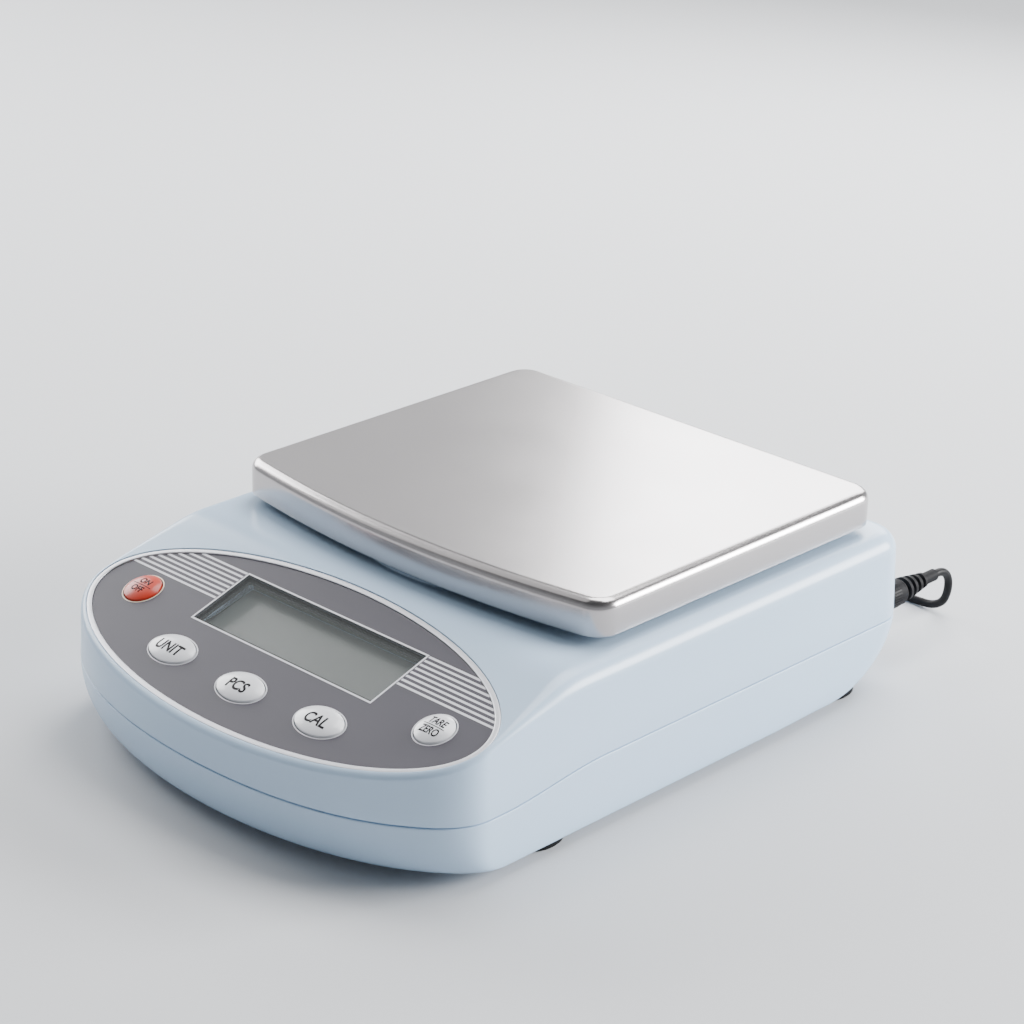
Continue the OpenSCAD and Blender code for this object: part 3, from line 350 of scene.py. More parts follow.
panel_grey = panel_film()
black_rubber = soft_black("black_rubber", 13, 0.62, 1.4, 0.03)
cord_vinyl = soft_black("cord_vinyl", 11, 0.45, 0.8, 0.012)
light_ink = ink("light_ink", srgb(214, 214, 220), srgb(226, 226, 231), 0.4)
cream_ink = ink("cream_ink", srgb(236, 220, 198), srgb(242, 228, 208), 0.35)
# this black is the ink of the lettering and also painted shade on the walls round the window
black_ink = ink("black_ink", srgb(16, 15, 18), srgb(24, 22, 26), 0.6)
print("plastics, rubber and inks from", shell_plastic.name, "to", black_ink.name)

# %% [markdown]
# ## Metals
# The pan is stainless sheet with a ground finish: countless fine scratches that run one way, so the noise
# is stretched along that way and drives both roughness and bump. The ring round the panel is satin
# silver, and the fasteners are zinc. A metal has no colour of its own below the surface, so its Base
# Color is its reflection.

# %% Metals
SCRATCH_PER_MM, CLOUD_PER_MM = 1.1, 0.03
CLOUD = 0.08


def brushed(name, low, high, roughness, spread, along, depth_mm):
    finish = Finish(name)
    scratches = finish.noise(SCRATCH_PER_MM, 4.0, along)
    clouds = finish.noise(CLOUD_PER_MM, 3.0)
    colour = finish.between(scratches, low, high)
    rough = roughness + spread * (scratches - 0.5) + CLOUD * (clouds - 0.5)
    bump = finish.bump(scratches, depth_mm)
    return finish.set(Base_Color=colour, Metallic=1.0, Roughness=rough, Normal=bump)


ALONG_X = (0.03, 4.0, 4.0)
ALONG_Y = (4.0, 0.03, 4.0)
pan_steel = brushed("pan_steel", srgb(182, 178, 179), srgb(196, 192, 192), 0.23, 0.1, ALONG_X, 0.0008)
ring_silver = brushed("ring_silver", srgb(180, 181, 186), srgb(194, 195, 200), 0.4, 0.1, ALONG_X, 0.002)
alloy = brushed("alloy", srgb(200, 202, 205), srgb(214, 216, 219), 0.38, 0.2, ALONG_Y, 0.006)
plate_steel = brushed("plate_steel", srgb(190, 192, 194), srgb(206, 208, 210), 0.42, 0.2, ALONG_Y, 0.006)
zinc = brushed("zinc", srgb(188, 190, 196), srgb(210, 212, 216), 0.34, 0.2, (1, 1, 1), 0.004)
brass = brushed("brass", srgb(190, 150, 74), srgb(206, 168, 92), 0.32, 0.16, (1, 1, 1), 0.004)
print("metals from", pan_steel.name, "to", brass.name)

# %% [markdown]
# ## Display, lens and circuit boards
# A liquid-crystal cell that is switched off is an even grey-green with a faint mottling from its
# polariser. The window in front of it is clear acrylic. Light must pass through it both ways without
# noisy caustics, so it is mostly transparent by alpha and keeps a smooth reflecting surface. Boards are
# green lacquer over a woven core. Each part of the model then takes the finish of its slot in the record.
# Two differ: the shroud behind the window is dressed black as painted shade for the recess, and the plug
# is soft rubber.

# %% Display and boards
def lcd_cell():
    finish = Finish("lcd_cell")
    mottle = finish.noise(per_mm=0.5, detail=4.0)
    colour = finish.between(mottle, srgb(70, 75, 73), srgb(76, 81, 78))
    return finish.set(Base_Color=colour, Roughness=0.3 + 0.1 * mottle)


def clear_lens():
    finish = Finish("clear_lens")
    haze = finish.noise(per_mm=0.05, detail=2.0)
    finish.material.surface_render_method = "BLENDED"
    return finish.set(Base_Color=srgb(205, 212, 212), Roughness=0.04 + 0.03 * haze, Alpha=0.06)


def circuit_board():
    finish = Finish("circuit_board")
    weave = finish.noise(per_mm=1.6, detail=2.0, stretch=(1, 0.2, 1))
    colour = finish.between(weave, srgb(22, 84, 52), srgb(34, 104, 66))
    return finish.set(Base_Color=colour, Roughness=0.35 + 0.2 * weave, Normal=finish.bump(weave, 0.01))


SLOT_FINISH = {
    "shell_plastic": shell_plastic, "ring_silver": ring_silver, "panel_film": panel_grey,
    "clear_lens": clear_lens(), "lcd_cell": lcd_cell(), "dark_plastic": dark_plastic,
    "circuit_board": circuit_board(), "zinc_screws": zinc, "power_cap": power_cap, "white_cap": white_cap,
    "pan_steel": pan_steel, "black_rubber": black_rubber, "carrier_plastic": carrier_plastic,
    "alloy": alloy, "plate_steel": plate_steel, "brass_stop": brass, "ribbon_grey": ribbon_grey,
    "cord_vinyl": cord_vinyl, "blade_brass": brass,
}


def dress(piece, finish):
    piece.data.materials.clear()
    piece.data.materials.append(finish)


node_slot = {row["node"]: row["material_slot"] for row in frame["record"]["subparts"]}
for name, piece in nodes.items():
    dress(piece, SLOT_FINISH[node_slot[name]])
dress(lead_cord, cord_vinyl)
# the shroud's black is painted shade: it darkens the recess behind the window
dress(nodes["display_shroud"], black_ink)
dress(nodes["dc_plug"], black_rubber)
print("dressed", len(nodes), "nodes for", len(SLOT_FINISH), "slots")

# %% [markdown]
# ## Skins over rings of points
# The housing and the pan are lofts: the same outline repeated at many heights, drawn in or out by a rule.
# A ring is an array of points in millimetres, and the skin joins each ring to the next with quads and
# closes the two end rings. Edges sharper than a limit are marked sharp, so that smooth shading keeps flat
# faces flat.

# %% Skins
SHARP = math.radians(32)
TRIM_SHARP = math.radians(50)


def full_turn(steps):
    return np.linspace(0, 2 * math.pi, steps, endpoint=False)


def arc(first, last, count):
    return np.radians(np.linspace(first, last, count))


def at_height(outline, z):
    return np.column_stack([outline, np.broadcast_to(z, len(outline))])


def add_mesh(name, points, faces, finish):
    mesh = bpy.data.meshes.new(name)
    mesh.from_pydata([tuple(p) for p in np.asarray(points) * MM], [], faces)
    mesh.update()
    piece = bpy.data.objects.new(name, mesh)
    scene.collection.objects.link(piece)
    dress(piece, finish)
    return piece


def shade(piece, limit=SHARP):
    mesh = piece.data
    mesh.polygons.foreach_set("use_smooth", [True] * len(mesh.polygons))
    mesh.set_sharp_from_angle(angle=limit)
    return piece


def skin(name, rings, finish, close="caps"):
    count = len(rings[0])
    faces = []
    pairs = list(zip(range(len(rings)), range(1, len(rings))))
    if close == "loop":
        pairs.append((len(rings) - 1, 0))
    for low, high in pairs:
        for i in range(count):
            j = (i + 1) % count
            faces.append((low * count + i, low * count + j, high * count + j, high * count + i))
    if close == "caps":
        last = (len(rings) - 1) * count
        faces.append(tuple(reversed(range(count))))
        faces.append(tuple(range(last, last + count)))
    return add_mesh(name, np.vstack(rings), faces, finish)


def freeze(piece):
    made = bpy.data.meshes.new_from_object(piece.evaluated_get(bpy.context.evaluated_depsgraph_get()))
    piece.modifiers.clear()
    piece.data = made
    return piece


def carve(piece, rings):
    cutter = skin("cut", rings, piece.data.materials[0])
    modifier = piece.modifiers.new("carve", "BOOLEAN")
    modifier.operation = "DIFFERENCE"
    modifier.solver = "EXACT"
    modifier.object = cutter
    freeze(piece)
    bpy.data.objects.remove(cutter)


def stand_in(piece, body, slot, *replaced):
    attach(piece, body)
    if replaced:
        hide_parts(*replaced)
    return piece


def node_middle(name):
    low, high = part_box(name)
    return (low + high) / 2 / MM


print("edges over", round(math.degrees(SHARP)), "degrees stay sharp")

# %% [markdown]
# ## The housing's outline
# Seen from above the housing is a half ellipse in front, two straight sides and a rounded back. Its top
# is flat under the pan and falls in front of a soft crest to the slope of the control panel. The parting
# line between the two halves runs level along the sides and dips towards the front. These few rules drive
# both halves.

# %% Housing rules
HALF_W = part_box("upper_case")[1].x / MM
Y_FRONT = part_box("lower_case")[0].y / MM
Y_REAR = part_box("upper_case")[1].y / MM
TOP_Z = 56.8
BOTTOM_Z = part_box("lower_case")[0].z / MM
FRONT_BOW = 37.5
REAR_CORNER_R = 14.0
SHOULDER_R = 7.0
LIP_R = 1.8
WALL = 2.6
TOP_WALL = 3.2
DRAFT = math.tan(math.radians(2.2))
PART_Z_REAR = 26.5
PART_Z_FRONT = 21.3
PART_Z_SIDE = PART_Z_FRONT + 1.4
SEAM_GAP = 0.4
PANEL_TILT = math.radians(17.5)
SLOPE = math.tan(PANEL_TILT)
OVAL_Y = Y_FRONT + FRONT_BOW
CREST_Y = Y_FRONT + 73.6
CREST_BLEND = 6.0
RISE_LENGTH = 20.0
DIP_FROM = OVAL_Y + 5
DIP_LENGTH = 45.0
PANEL_Z = TOP_Z - (CREST_Y - OVAL_Y) * SLOPE
FRONT_STEPS, SIDE_STEPS, CORNER_STEPS, REAR_STEPS = 56, 64, 14, 10
SIDE_EASE = 1.7


def mix(a, b, t):
    return a + (b - a) * smooth(t)


def z_top(y):
    fall = TOP_Z + (y - CREST_Y) * SLOPE
    blend = TOP_Z - SLOPE * (CREST_Y + CREST_BLEND - y) ** 2 / (4 * CREST_BLEND)
    return np.where(y > CREST_Y + CREST_BLEND, TOP_Z, np.where(y < CREST_Y - CREST_BLEND, fall, blend))


def z_part(y):
    front = mix(PART_Z_FRONT, PART_Z_SIDE, (y - Y_FRONT) / RISE_LENGTH)
    return np.where(y < OVAL_Y, front, mix(PART_Z_SIDE, PART_Z_REAR, (y - DIP_FROM) / DIP_LENGTH))


def shoulder(y):
    return mix(LIP_R, SHOULDER_R, (y - OVAL_Y) / (CREST_Y + CREST_BLEND - OVAL_Y))


def mirrored(half):
    other = half[-2:0:-1] * np.array([-1, 1])
    return np.vstack([half, other])


def housing_outline():
    a = np.radians(np.linspace(-90, 0, FRONT_STEPS, endpoint=False))
    front = np.column_stack([HALF_W * np.cos(a), OVAL_Y + FRONT_BOW * np.sin(a)])
    front_n = np.column_stack([np.cos(a) / HALF_W, np.sin(a) / FRONT_BOW])
    run = Y_REAR - REAR_CORNER_R - OVAL_Y
    y = OVAL_Y + run * np.linspace(0, 1, SIDE_STEPS, endpoint=False) ** SIDE_EASE
    side = np.column_stack([np.full_like(y, HALF_W), y])
    side_n = np.tile([1.0, 0.0], (SIDE_STEPS, 1))
    b = np.radians(np.linspace(0, 90, CORNER_STEPS, endpoint=False))
    corner_n = np.column_stack([np.cos(b), np.sin(b)])
    corner = np.array([HALF_W - REAR_CORNER_R, Y_REAR - REAR_CORNER_R]) + REAR_CORNER_R * corner_n
    x = np.linspace(HALF_W - REAR_CORNER_R, 0, REAR_STEPS)
    rear = np.column_stack([x, np.full_like(x, Y_REAR)])
    rear_n = np.tile([0.0, 1.0], (REAR_STEPS, 1))
    points = mirrored(np.vstack([front, side, corner, rear]))
    normals = mirrored(np.vstack([front_n, side_n, corner_n, rear_n]))
    return points, normals / np.linalg.norm(normals, axis=1, keepdims=True)


plan, plan_n = housing_outline()
plan_y = plan[:, 1]
lean = DRAFT * (z_top(plan_y) - shoulder(plan_y) - z_part(plan_y))


def inset(depth):
    return plan - plan_n * np.reshape(depth, (-1, 1))


def inset_at(depth, z):
    return at_height(inset(depth), z)


def inset_below(depth, drop):
    p = inset(depth)
    return at_height(p, z_top(p[:, 1]) - drop)


print("outline", len(plan), "points; panel centre at", round(PANEL_Z, 2), "mm")

# %% [markdown]
# ## The upper half
# From the ceiling inside, the rings run down the inner wall, across the seam, up the drafted outside and
# over the shoulder, whose radius grows from a thin lip at the panel to a round shoulder beside the pan.
# The top then runs in to the oval pocket of the panel along lines that fan out from the oval, so the mesh
# stays even. The window and the key holes are carved out of the flat pocket floor afterwards, where they
# can't disturb the shading.

# %% Places on the panel
RING_INSET = 2.6
RING_A = HALF_W - RING_INSET
RING_B = (FRONT_BOW - RING_INSET) / math.cos(PANEL_TILT)


def panel_place(u, v, w):
    y = OVAL_Y + v * math.cos(PANEL_TILT) - w * math.sin(PANEL_TILT)
    z = PANEL_Z + v * math.sin(PANEL_TILT) + w * math.cos(PANEL_TILT)
    return np.column_stack([u, y, z])


def on_panel(outline, w):
    return panel_place(outline[:, 0], outline[:, 1], w)


def oval_ring(angle, grow, w):
    return panel_place((RING_A + grow) * np.cos(angle), (RING_B + grow) * np.sin(angle), w)


print("panel oval", round(2 * RING_A, 1), "by", round(2 * RING_B, 1), "mm")

# %% Upper housing's skin
EDGE_R = 0.35
EDGE_ARC = arc(0, 90, 4)
RELIEF_IN = 1.05
RELIEF_H = 2.0
CEILING_RIM = 1.0
INNER_ROUND = 0.75
FLANK_SHARES = (0.33, 0.66)
SHOULDER_STEPS = 13
FAN_STEPS = 56
FAN_EASE = 0.7
MOUTH_R = 0.2
POCKET_GAP = 0.15
POCKET_DEPTH = 1.8
POCKET_LEDGE = 1.0


def upper_rings():
    r = shoulder(plan_y)
    part = z_part(plan_y)
    rim = part + SEAM_GAP / 2
    inner = WALL + lean
    rings = [
        inset_below(inner + INNER_ROUND * r + CEILING_RIM, TOP_WALL),
        inset_below(inner + INNER_ROUND * r, TOP_WALL),
        inset_below(inner, TOP_WALL + INNER_ROUND * r),
        inset_at(WALL, part + RELIEF_H),
        inset_at(RELIEF_IN, part + RELIEF_H),
        inset_at(RELIEF_IN, rim),
    ]
    for a in EDGE_ARC:
        rings.append(inset_at(EDGE_R * (1 - math.sin(a)), rim + EDGE_R * (1 - math.cos(a))))
    for share in FLANK_SHARES:
        height = rim + EDGE_R + share * (z_top(plan_y) - r - rim - EDGE_R)
        rings.append(inset_at(lean * share, height))
    for a in arc(0, 90, SHOULDER_STEPS):
        rings.append(inset_below(lean + r * (1 - math.cos(a)), r * (1 - math.sin(a))))
    edge = rings[-1]
    tilt_b = RING_B * math.cos(PANEL_TILT)
    angle = np.arctan2((edge[:, 1] - OVAL_Y) / tilt_b, edge[:, 0] / RING_A)
    mouth = oval_ring(angle, POCKET_GAP + MOUTH_R, 0)
    for share in np.linspace(0, 1, FAN_STEPS)[1:-1] ** FAN_EASE:
        p = edge[:, :2] + (mouth[:, :2] - edge[:, :2]) * share
        rings.append(at_height(p, z_top(p[:, 1])))
    for a in EDGE_ARC:
        grow = POCKET_GAP + MOUTH_R * (1 - math.sin(a))
        rings.append(oval_ring(angle, grow, -MOUTH_R * (1 - math.cos(a))))
    rings.append(oval_ring(angle, POCKET_GAP, -POCKET_DEPTH))
    rings.append(oval_ring(angle, -POCKET_LEDGE, -POCKET_DEPTH))
    return rings


upper_housing = skin("upper_housing", upper_rings(), shell_plastic)
print("upper housing", len(upper_housing.data.vertices), "points before it is carved")

# %% [markdown]
# ## Openings in the upper half
# The window is a rectangle with rounded corners and the keys are ovals, drawn on the plane of the panel.
# A key is given by its place on the panel and its two half axes. Each outline becomes a short block that
# is cut away. The round opening under the pan lets its support through.

# %% Outlines
def oval_outline(a, b, centre, steps=64):
    t = full_turn(steps)
    return np.column_stack([centre[0] + a * np.cos(t), centre[1] + b * np.sin(t)])


def box_outline(width, height, centre, radius, steps=6):
    corners = []
    for quarter, (sx, sy) in enumerate([(1, 1), (-1, 1), (-1, -1), (1, -1)]):
        t = np.radians(90 * quarter + np.linspace(0, 90, steps))
        x = centre[0] + sx * (width / 2 - radius) + radius * np.cos(t)
        y = centre[1] + sy * (height / 2 - radius) + radius * np.sin(t)
        corners.append(np.column_stack([x, y]))
    return np.vstack(corners)


print("a box outline has", len(box_outline(2, 1, (0, 0), 0.1)), "points")

# %% Upper housing carved
WINDOW_W, WINDOW_H, WINDOW_V = 83.0, 25.0, 10.5
WINDOW_LEDGE = 1.0
WINDOW_CORNER = 1.0
ROUND_R = 6.4
ROUND_U = RING_A - 20.0
OVAL_A, OVAL_B = 9.25, 6.0
OVAL_U = 34.5
KEYS = {
    "power": ((-ROUND_U, -0.5), ROUND_R, ROUND_R),
    "tare": ((ROUND_U, -1.0), ROUND_R, ROUND_R),
    "unit": ((-OVAL_U, -17.0), OVAL_A, OVAL_B),
    "pcs": ((0.0, -18.5), OVAL_A, OVAL_B),
    "cal": ((OVAL_U, -17.0), OVAL_A, OVAL_B),
}
KEY_GAP = 0.3
PAN_MIDDLE_Y = node_middle("weighing_pan").y
COLLAR_R = 14.0
PANEL_CUT = (-9.0, 3.0)
COLLAR_CUT = (TOP_Z - 9, TOP_Z + 5)


def window_box(grow, corner):
    return box_outline(WINDOW_W + 2 * grow, WINDOW_H + 2 * grow, (0, WINDOW_V), corner)


holes = [window_box(-WINDOW_LEDGE, WINDOW_CORNER)]
holes += [oval_outline(a + KEY_GAP, b + KEY_GAP, at) for at, a, b in KEYS.values()]
for hole in holes:
    carve(upper_housing, [on_panel(hole, w) for w in PANEL_CUT])
collar = oval_outline(COLLAR_R, COLLAR_R, (0, PAN_MIDDLE_Y))
carve(upper_housing, [at_height(collar, z) for z in COLLAR_CUT])
stand_in(shade(upper_housing), "base", "shell_plastic", "upper_case")
print("upper housing", len(upper_housing.data.polygons), "faces")

# %% [markdown]
# ## Raised rims under the pan
# A low round rim on the flat top keeps spills away from the opening in the middle, and a collar stands
# round that opening. Both are turned shapes: one half of a section, measured outwards from its flank and
# up from the top, is mirrored and spun about the middle of the pan.

# %% Spill rims
SPILL_R = 67.5
SPILL_H = 1.4
COLLAR_OUT = 1.5
RIM_SECTION = [(0.7, -0.4), (0.35, 0.25), (0.0, 0.8), (-0.35, SPILL_H - 0.1), (-0.8, SPILL_H)]
RIMS = {"spill_rim": (SPILL_R, 1.25, 160), "collar_rim": (COLLAR_R + COLLAR_OUT, 1.1, 80)}


def rim_rings(radius, half_w, steps):
    half = [(radius + half_w + out, TOP_Z + up) for out, up in RIM_SECTION]
    section = half + [(2 * radius - r, z) for r, z in reversed(half)]
    return [at_height(oval_outline(r, r, (0, PAN_MIDDLE_Y), steps), z) for r, z in section]


for name, sizes in RIMS.items():
    piece = skin(name, rim_rings(*sizes), shell_plastic, "loop")
    stand_in(shade(piece, TRIM_SHARP), "base", "shell_plastic")
print("rims", list(RIMS))

# %% [markdown]
# ## The lower half
# The lower half is a tray that draws in towards its underside: tight at the sides, rounder in front and
# in one long curve at the back. A superellipse between the parting line and a smaller outline on the
# underside gives that, with a power that changes along the outline. Foot recesses, screw wells and the
# power inlet are carved out.

# %% Lower housing's underside
TUCK_FRONT, TUCK_SIDE, TUCK_REAR = 7.0, 2.0, 13.4
SOLE_BOW = 46.0
SOLE_Y = Y_FRONT + TUCK_FRONT + SOLE_BOW
SOLE_CORNER_R = 28.0
FACES_BACK = 0.9999


def sole_outline():
    corner = np.array([HALF_W - TUCK_SIDE - SOLE_CORNER_R, Y_REAR - TUCK_REAR - SOLE_CORNER_R])
    share = (corner[1] - SOLE_Y) / (Y_REAR - REAR_CORNER_R - OVAL_Y)
    side = np.where(plan[:, 0] < 0, -1.0, 1.0)
    x = plan[:, 0] * (HALF_W - TUCK_SIDE) / HALF_W
    front = np.column_stack([x, SOLE_Y + (plan_y - OVAL_Y) * SOLE_BOW / FRONT_BOW])
    flank = np.column_stack([side * (HALF_W - TUCK_SIDE), SOLE_Y + share * (plan_y - OVAL_Y)])
    turn = np.column_stack([side * corner[0], np.full_like(x, corner[1])]) + SOLE_CORNER_R * plan_n
    rear = np.column_stack([plan[:, 0] * corner[0] / (HALF_W - REAR_CORNER_R), turn[:, 1]])
    made = np.where((plan_y > OVAL_Y)[:, None], flank, front)
    made = np.where((plan_y > Y_REAR - REAR_CORNER_R)[:, None], turn, made)
    return np.where((plan_n[:, 1] > FACES_BACK)[:, None], rear, made)


sole = sole_outline()
print("underside", round(float(np.ptp(sole[:, 1])), 1), "mm deep")

# %% Lower housing's skin
SIDE_POWER, ROUND_POWER, REAR_POWER = 3.6, 2.0, 1.7
REAR_TURN = 50.0
REAR_TURN_Y = Y_REAR - REAR_CORNER_R - REAR_TURN
SOLE_INNER = 0.985
TUCK_ARC = arc(84, 0, 22)
TONGUE_IN = WALL / 2
TONGUE_H = 1.6
WALL_SHARES = (0.4, 0.7)
FLOOR_SHARE = 0.85
FLOOR_IN = 1.3 * WALL
FLOOR_Z = BOTTOM_Z + 2.6
to_rear = plan_n[:, 1]
rear_power = mix(SIDE_POWER, REAR_POWER, (plan_y - REAR_TURN_Y) / REAR_TURN)
tuck_power = np.where(to_rear < 0, mix(SIDE_POWER, ROUND_POWER, -to_rear), rear_power)
z_rim = z_part(plan_y) - SEAM_GAP / 2


def drawn_in(t, depth):
    share = 1 - np.maximum(1 - t**tuck_power, 0) ** (1 / tuck_power)
    p = plan + (sole - plan) * share[:, None] - plan_n * depth
    return at_height(p, z_rim - t * (z_rim - BOTTOM_Z))


def lower_rings():
    part = z_part(plan_y)
    middle = np.array([0, plan_y.mean()])
    base = drawn_in(1.0, 0)
    rings = [at_height(middle + (base[:, :2] - middle) * SOLE_INNER, base[:, 2]), base]
    for t in np.sin(TUCK_ARC)[:-1]:
        rings.append(drawn_in(t, 0))
    for a in EDGE_ARC:
        rings.append(inset_at(EDGE_R * (1 - math.cos(a)), z_rim - EDGE_R * (1 - math.sin(a))))
    rings.append(inset_at(TONGUE_IN, z_rim))
    rings.append(inset_at(TONGUE_IN, part + TONGUE_H))
    rings.append(inset_at(WALL, part + TONGUE_H))
    for t in WALL_SHARES:
        rings.append(drawn_in(t, WALL))
    floor = drawn_in(FLOOR_SHARE, FLOOR_IN)
    floor[:, 2] = FLOOR_Z
    return rings + [floor]


lower_housing = skin("lower_housing", lower_rings(), shell_plastic)
print("lower housing", len(lower_housing.data.vertices), "points before it is carved")

# %% Lower housing carved
FEET = [name for name in nodes if name.startswith("foot_") and name != "foot_screws"]
FOOT_SEAT_R = 11.15
FOOT_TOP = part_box(FEET[0])[1].z / MM
CASE_SCREW_X = HALF_W - 11
CASE_SCREW_YS = (Y_FRONT + 92.5, Y_REAR - 52.5)
SCREW_WELL_R = 3.6
SCREW_WELL_TOP = FLOOR_Z + 1
CUT_BELOW = -1.0
JACK = node_middle("dc_jack")
INLET_R = 5.05
INLET_CUT = (Y_REAR - 16, Y_REAR + 5)

foot_places = [tuple(node_middle(name)[:2]) for name in FEET]
case_screw_places = [(s * CASE_SCREW_X, y) for s in (-1, 1) for y in CASE_SCREW_YS]
wells = [(oval_outline(FOOT_SEAT_R, FOOT_SEAT_R, at), FOOT_TOP) for at in foot_places]
wells += [(oval_outline(SCREW_WELL_R, SCREW_WELL_R, at, 40), SCREW_WELL_TOP) for at in case_screw_places]
for outline, top in wells:
    carve(lower_housing, [at_height(outline, z) for z in (CUT_BELOW, top)])


def round_jack(radius, y):
    t = full_turn(48)
    return np.column_stack([JACK.x + radius * np.sin(t), np.full_like(t, y), JACK.z + radius * np.cos(t)])


carve(lower_housing, [round_jack(INLET_R, y) for y in INLET_CUT])
stand_in(shade(lower_housing), "base", "shell_plastic", "lower_case")
print("lower housing", len(lower_housing.data.polygons), "faces")

# %% [markdown]
# ## The silver ring
# A slim satin ring frames the panel. Its section is a flat strip with rounded shoulders, carried round
# the oval, so it is a loft of ovals that closes on itself.

# %% Panel ring
RING_W = 2.0
RING_TOP = -0.2
RING_R = 0.3
RING_STEPS = 240


def silver_rings():
    section = [(0, -POCKET_DEPTH)]
    for a in arc(0, 90, 5):
        section.append((-RING_R * (1 - math.cos(a)), RING_TOP - RING_R * (1 - math.sin(a))))
    section += [(-RING_W - grow, w) for grow, w in reversed(section)]
    return [oval_ring(full_turn(RING_STEPS), grow, w) for grow, w in section]


silver_ring = skin("silver_ring", silver_rings(), ring_silver, "loop")
stand_in(shade(silver_ring, TRIM_SHARP), "base", "ring_silver", "panel_ring")
print("ring", len(silver_ring.data.polygons), "faces")

# %% [markdown]
# ## Printed stripes
# Eight thin pale lines run from the display to the ring on either side. Each line ends on the oval, so
# its length follows from its height by the equation of the ellipse. That is a rule with a count, which
# suits Geometry Nodes: points are numbered, each gets its row and side, and a unit block is scaled to the
# length that the row needs.

# %% Geometry Nodes trees
class Geometry(Tree):
    """A Geometry Nodes tree under construction, with named inputs for its sizes."""

    def __init__(self, name, inputs):
        super().__init__(bpy.data.node_groups.new(name, "GeometryNodeTree"))
        sockets = self.tree.interface
        sockets.new_socket("Geometry", in_out="INPUT", socket_type="NodeSocketGeometry")
        self.sizes = {}
        for key, value in inputs.items():
            kind = "NodeSocketInt" if isinstance(value, int) else "NodeSocketFloat"
            item = sockets.new_socket(key, in_out="INPUT", socket_type=kind)
            self.sizes[item.identifier] = value
        sockets.new_socket("Geometry", in_out="OUTPUT", socket_type="NodeSocketGeometry")
        self.start = self.tree.nodes.new("NodeGroupInput")
        self.end = self.tree.nodes.new("NodeGroupOutput")

    def given(self, key):
        return Wire(self, self.start.outputs[key])

    def vector(self, x, y, z):
        return self.node("ShaderNodeCombineXYZ", {}, {0: x, 1: y, 2: z})

    def block(self, size):
        return self.node("GeometryNodeMeshCube", {}, {"Size": size})

    def cylinder(self, sides, radius, length):
        sockets = {"Vertices": sides, "Radius": radius, "Depth": length}
        return self.node("GeometryNodeMeshCylinder", {}, sockets)

    def moved(self, geometry, by, turn=(0, 0, 0)):
        sockets = {"Geometry": geometry, "Translation": by, "Rotation": turn}
        return self.node("GeometryNodeTransform", {}, sockets)

    def repeated(self, **sockets):
        copies = self.node("GeometryNodeInstanceOnPoints", {}, sockets)
        return self.node("GeometryNodeRealizeInstances", {}, {0: copies})

    def make(self, name, result, finish, start=None):
        painted = self.node("GeometryNodeSetMaterial", {}, {"Geometry": result, "Material": finish})
        self.put(self.end.inputs[0], painted)
        piece = bpy.data.objects.new(name, start or bpy.data.meshes.new(name))
        scene.collection.objects.link(piece)
        modifier = piece.modifiers.new(name, "NODES")
        modifier.node_group = self.tree
        for identifier, value in self.sizes.items():
            modifier[identifier] = value
        return freeze(piece)


print("geometry trees are written with", Geometry.__name__)

# %% Stripes
STRIPE_ROWS = 8
STRIPE_TOP_V = 22.9
STRIPE_PITCH = 2.02
STRIPE_T = 0.85
STRIPE_GAP = 0.9
STRIPE_FROM_U = WINDOW_W / 2 + STRIPE_GAP
OVERLAY_TOP = -0.6
PRINT_T = 0.06


def stripes():
    tree = Geometry("stripes", {
        "Count": 2 * STRIPE_ROWS, "Top": STRIPE_TOP_V * MM, "Pitch": STRIPE_PITCH * MM,
        "Thickness": STRIPE_T * MM, "From": STRIPE_FROM_U * MM, "Print": PRINT_T * MM,
        "Oval A": (RING_A - RING_W) * MM, "Oval B": (RING_B - RING_W) * MM,
    })
    index = tree.node("GeometryNodeInputIndex", {}, {})
    row = tree.math("FLOOR", index / 2)
    side = 1 - 2 * (index % 2)
    v = tree.given("Top") - row * tree.given("Pitch")
    share = (v / tree.given("Oval B")) ** 2
    reach = tree.given("Oval A") * tree.math("SQRT", 1 - share)
    length = reach - tree.given("From")
    u = tree.given("From") + length / 2
    lift = OVERLAY_TOP * MM + tree.given("Print") / 4
    at = tree.vector(side * u, v, lift)
    points = tree.node("GeometryNodePoints", {}, {"Count": tree.given("Count"), "Position": at})
    size = tree.vector(length, tree.given("Thickness"), tree.given("Print"))
    lines = tree.repeated(Points=points, Instance=tree.block((1, 1, 1)), Scale=size)
    on_slope = tree.moved(lines, (0, OVAL_Y * MM, PANEL_Z * MM), (PANEL_TILT, 0, 0))
    return tree.make("panel_stripes", on_slope, light_ink)


panel_stripes = stand_in(stripes(), "base", "panel_film")
print("stripes", len(panel_stripes.data.polygons) // 6)

# %% [markdown]
# ## The window's edge
# Three thin strips lie between two rectangles each: a fine pale line printed round the display window, and
# two black strips of painted shade, a liner on the shell's own edge under the window and a mask round the
# opening, which darken the recess so that only the display is bright behind the window.

# %% Window edge
FRAME_LINE = 0.55
FRAME_LAP = 0.1
FRAME_CORNER = 0.15
SHADE_LINER_T = 0.3
SHADE_LINER_GAP = 0.05
SHADE_LINER_CORNER = 0.7
SHADE_LINER_OUT = -WINDOW_LEDGE - SHADE_LINER_GAP
SHADE_LINER_IN = SHADE_LINER_OUT - SHADE_LINER_T
SHADE_MASK_T = 0.12
PRINT_SINK = 0.02
PANEL_UNDER = -TOP_WALL * math.cos(PANEL_TILT)
PRINT_LEVELS = (OVERLAY_TOP - PRINT_SINK, OVERLAY_TOP + PRINT_T)
SHADE_LINER_LEVELS = (PANEL_UNDER - SHADE_LINER_GAP, -POCKET_DEPTH - SHADE_LINER_GAP)
SHADE_MASK_LEVELS = (-POCKET_DEPTH + PRINT_SINK, -POCKET_DEPTH + SHADE_MASK_T)
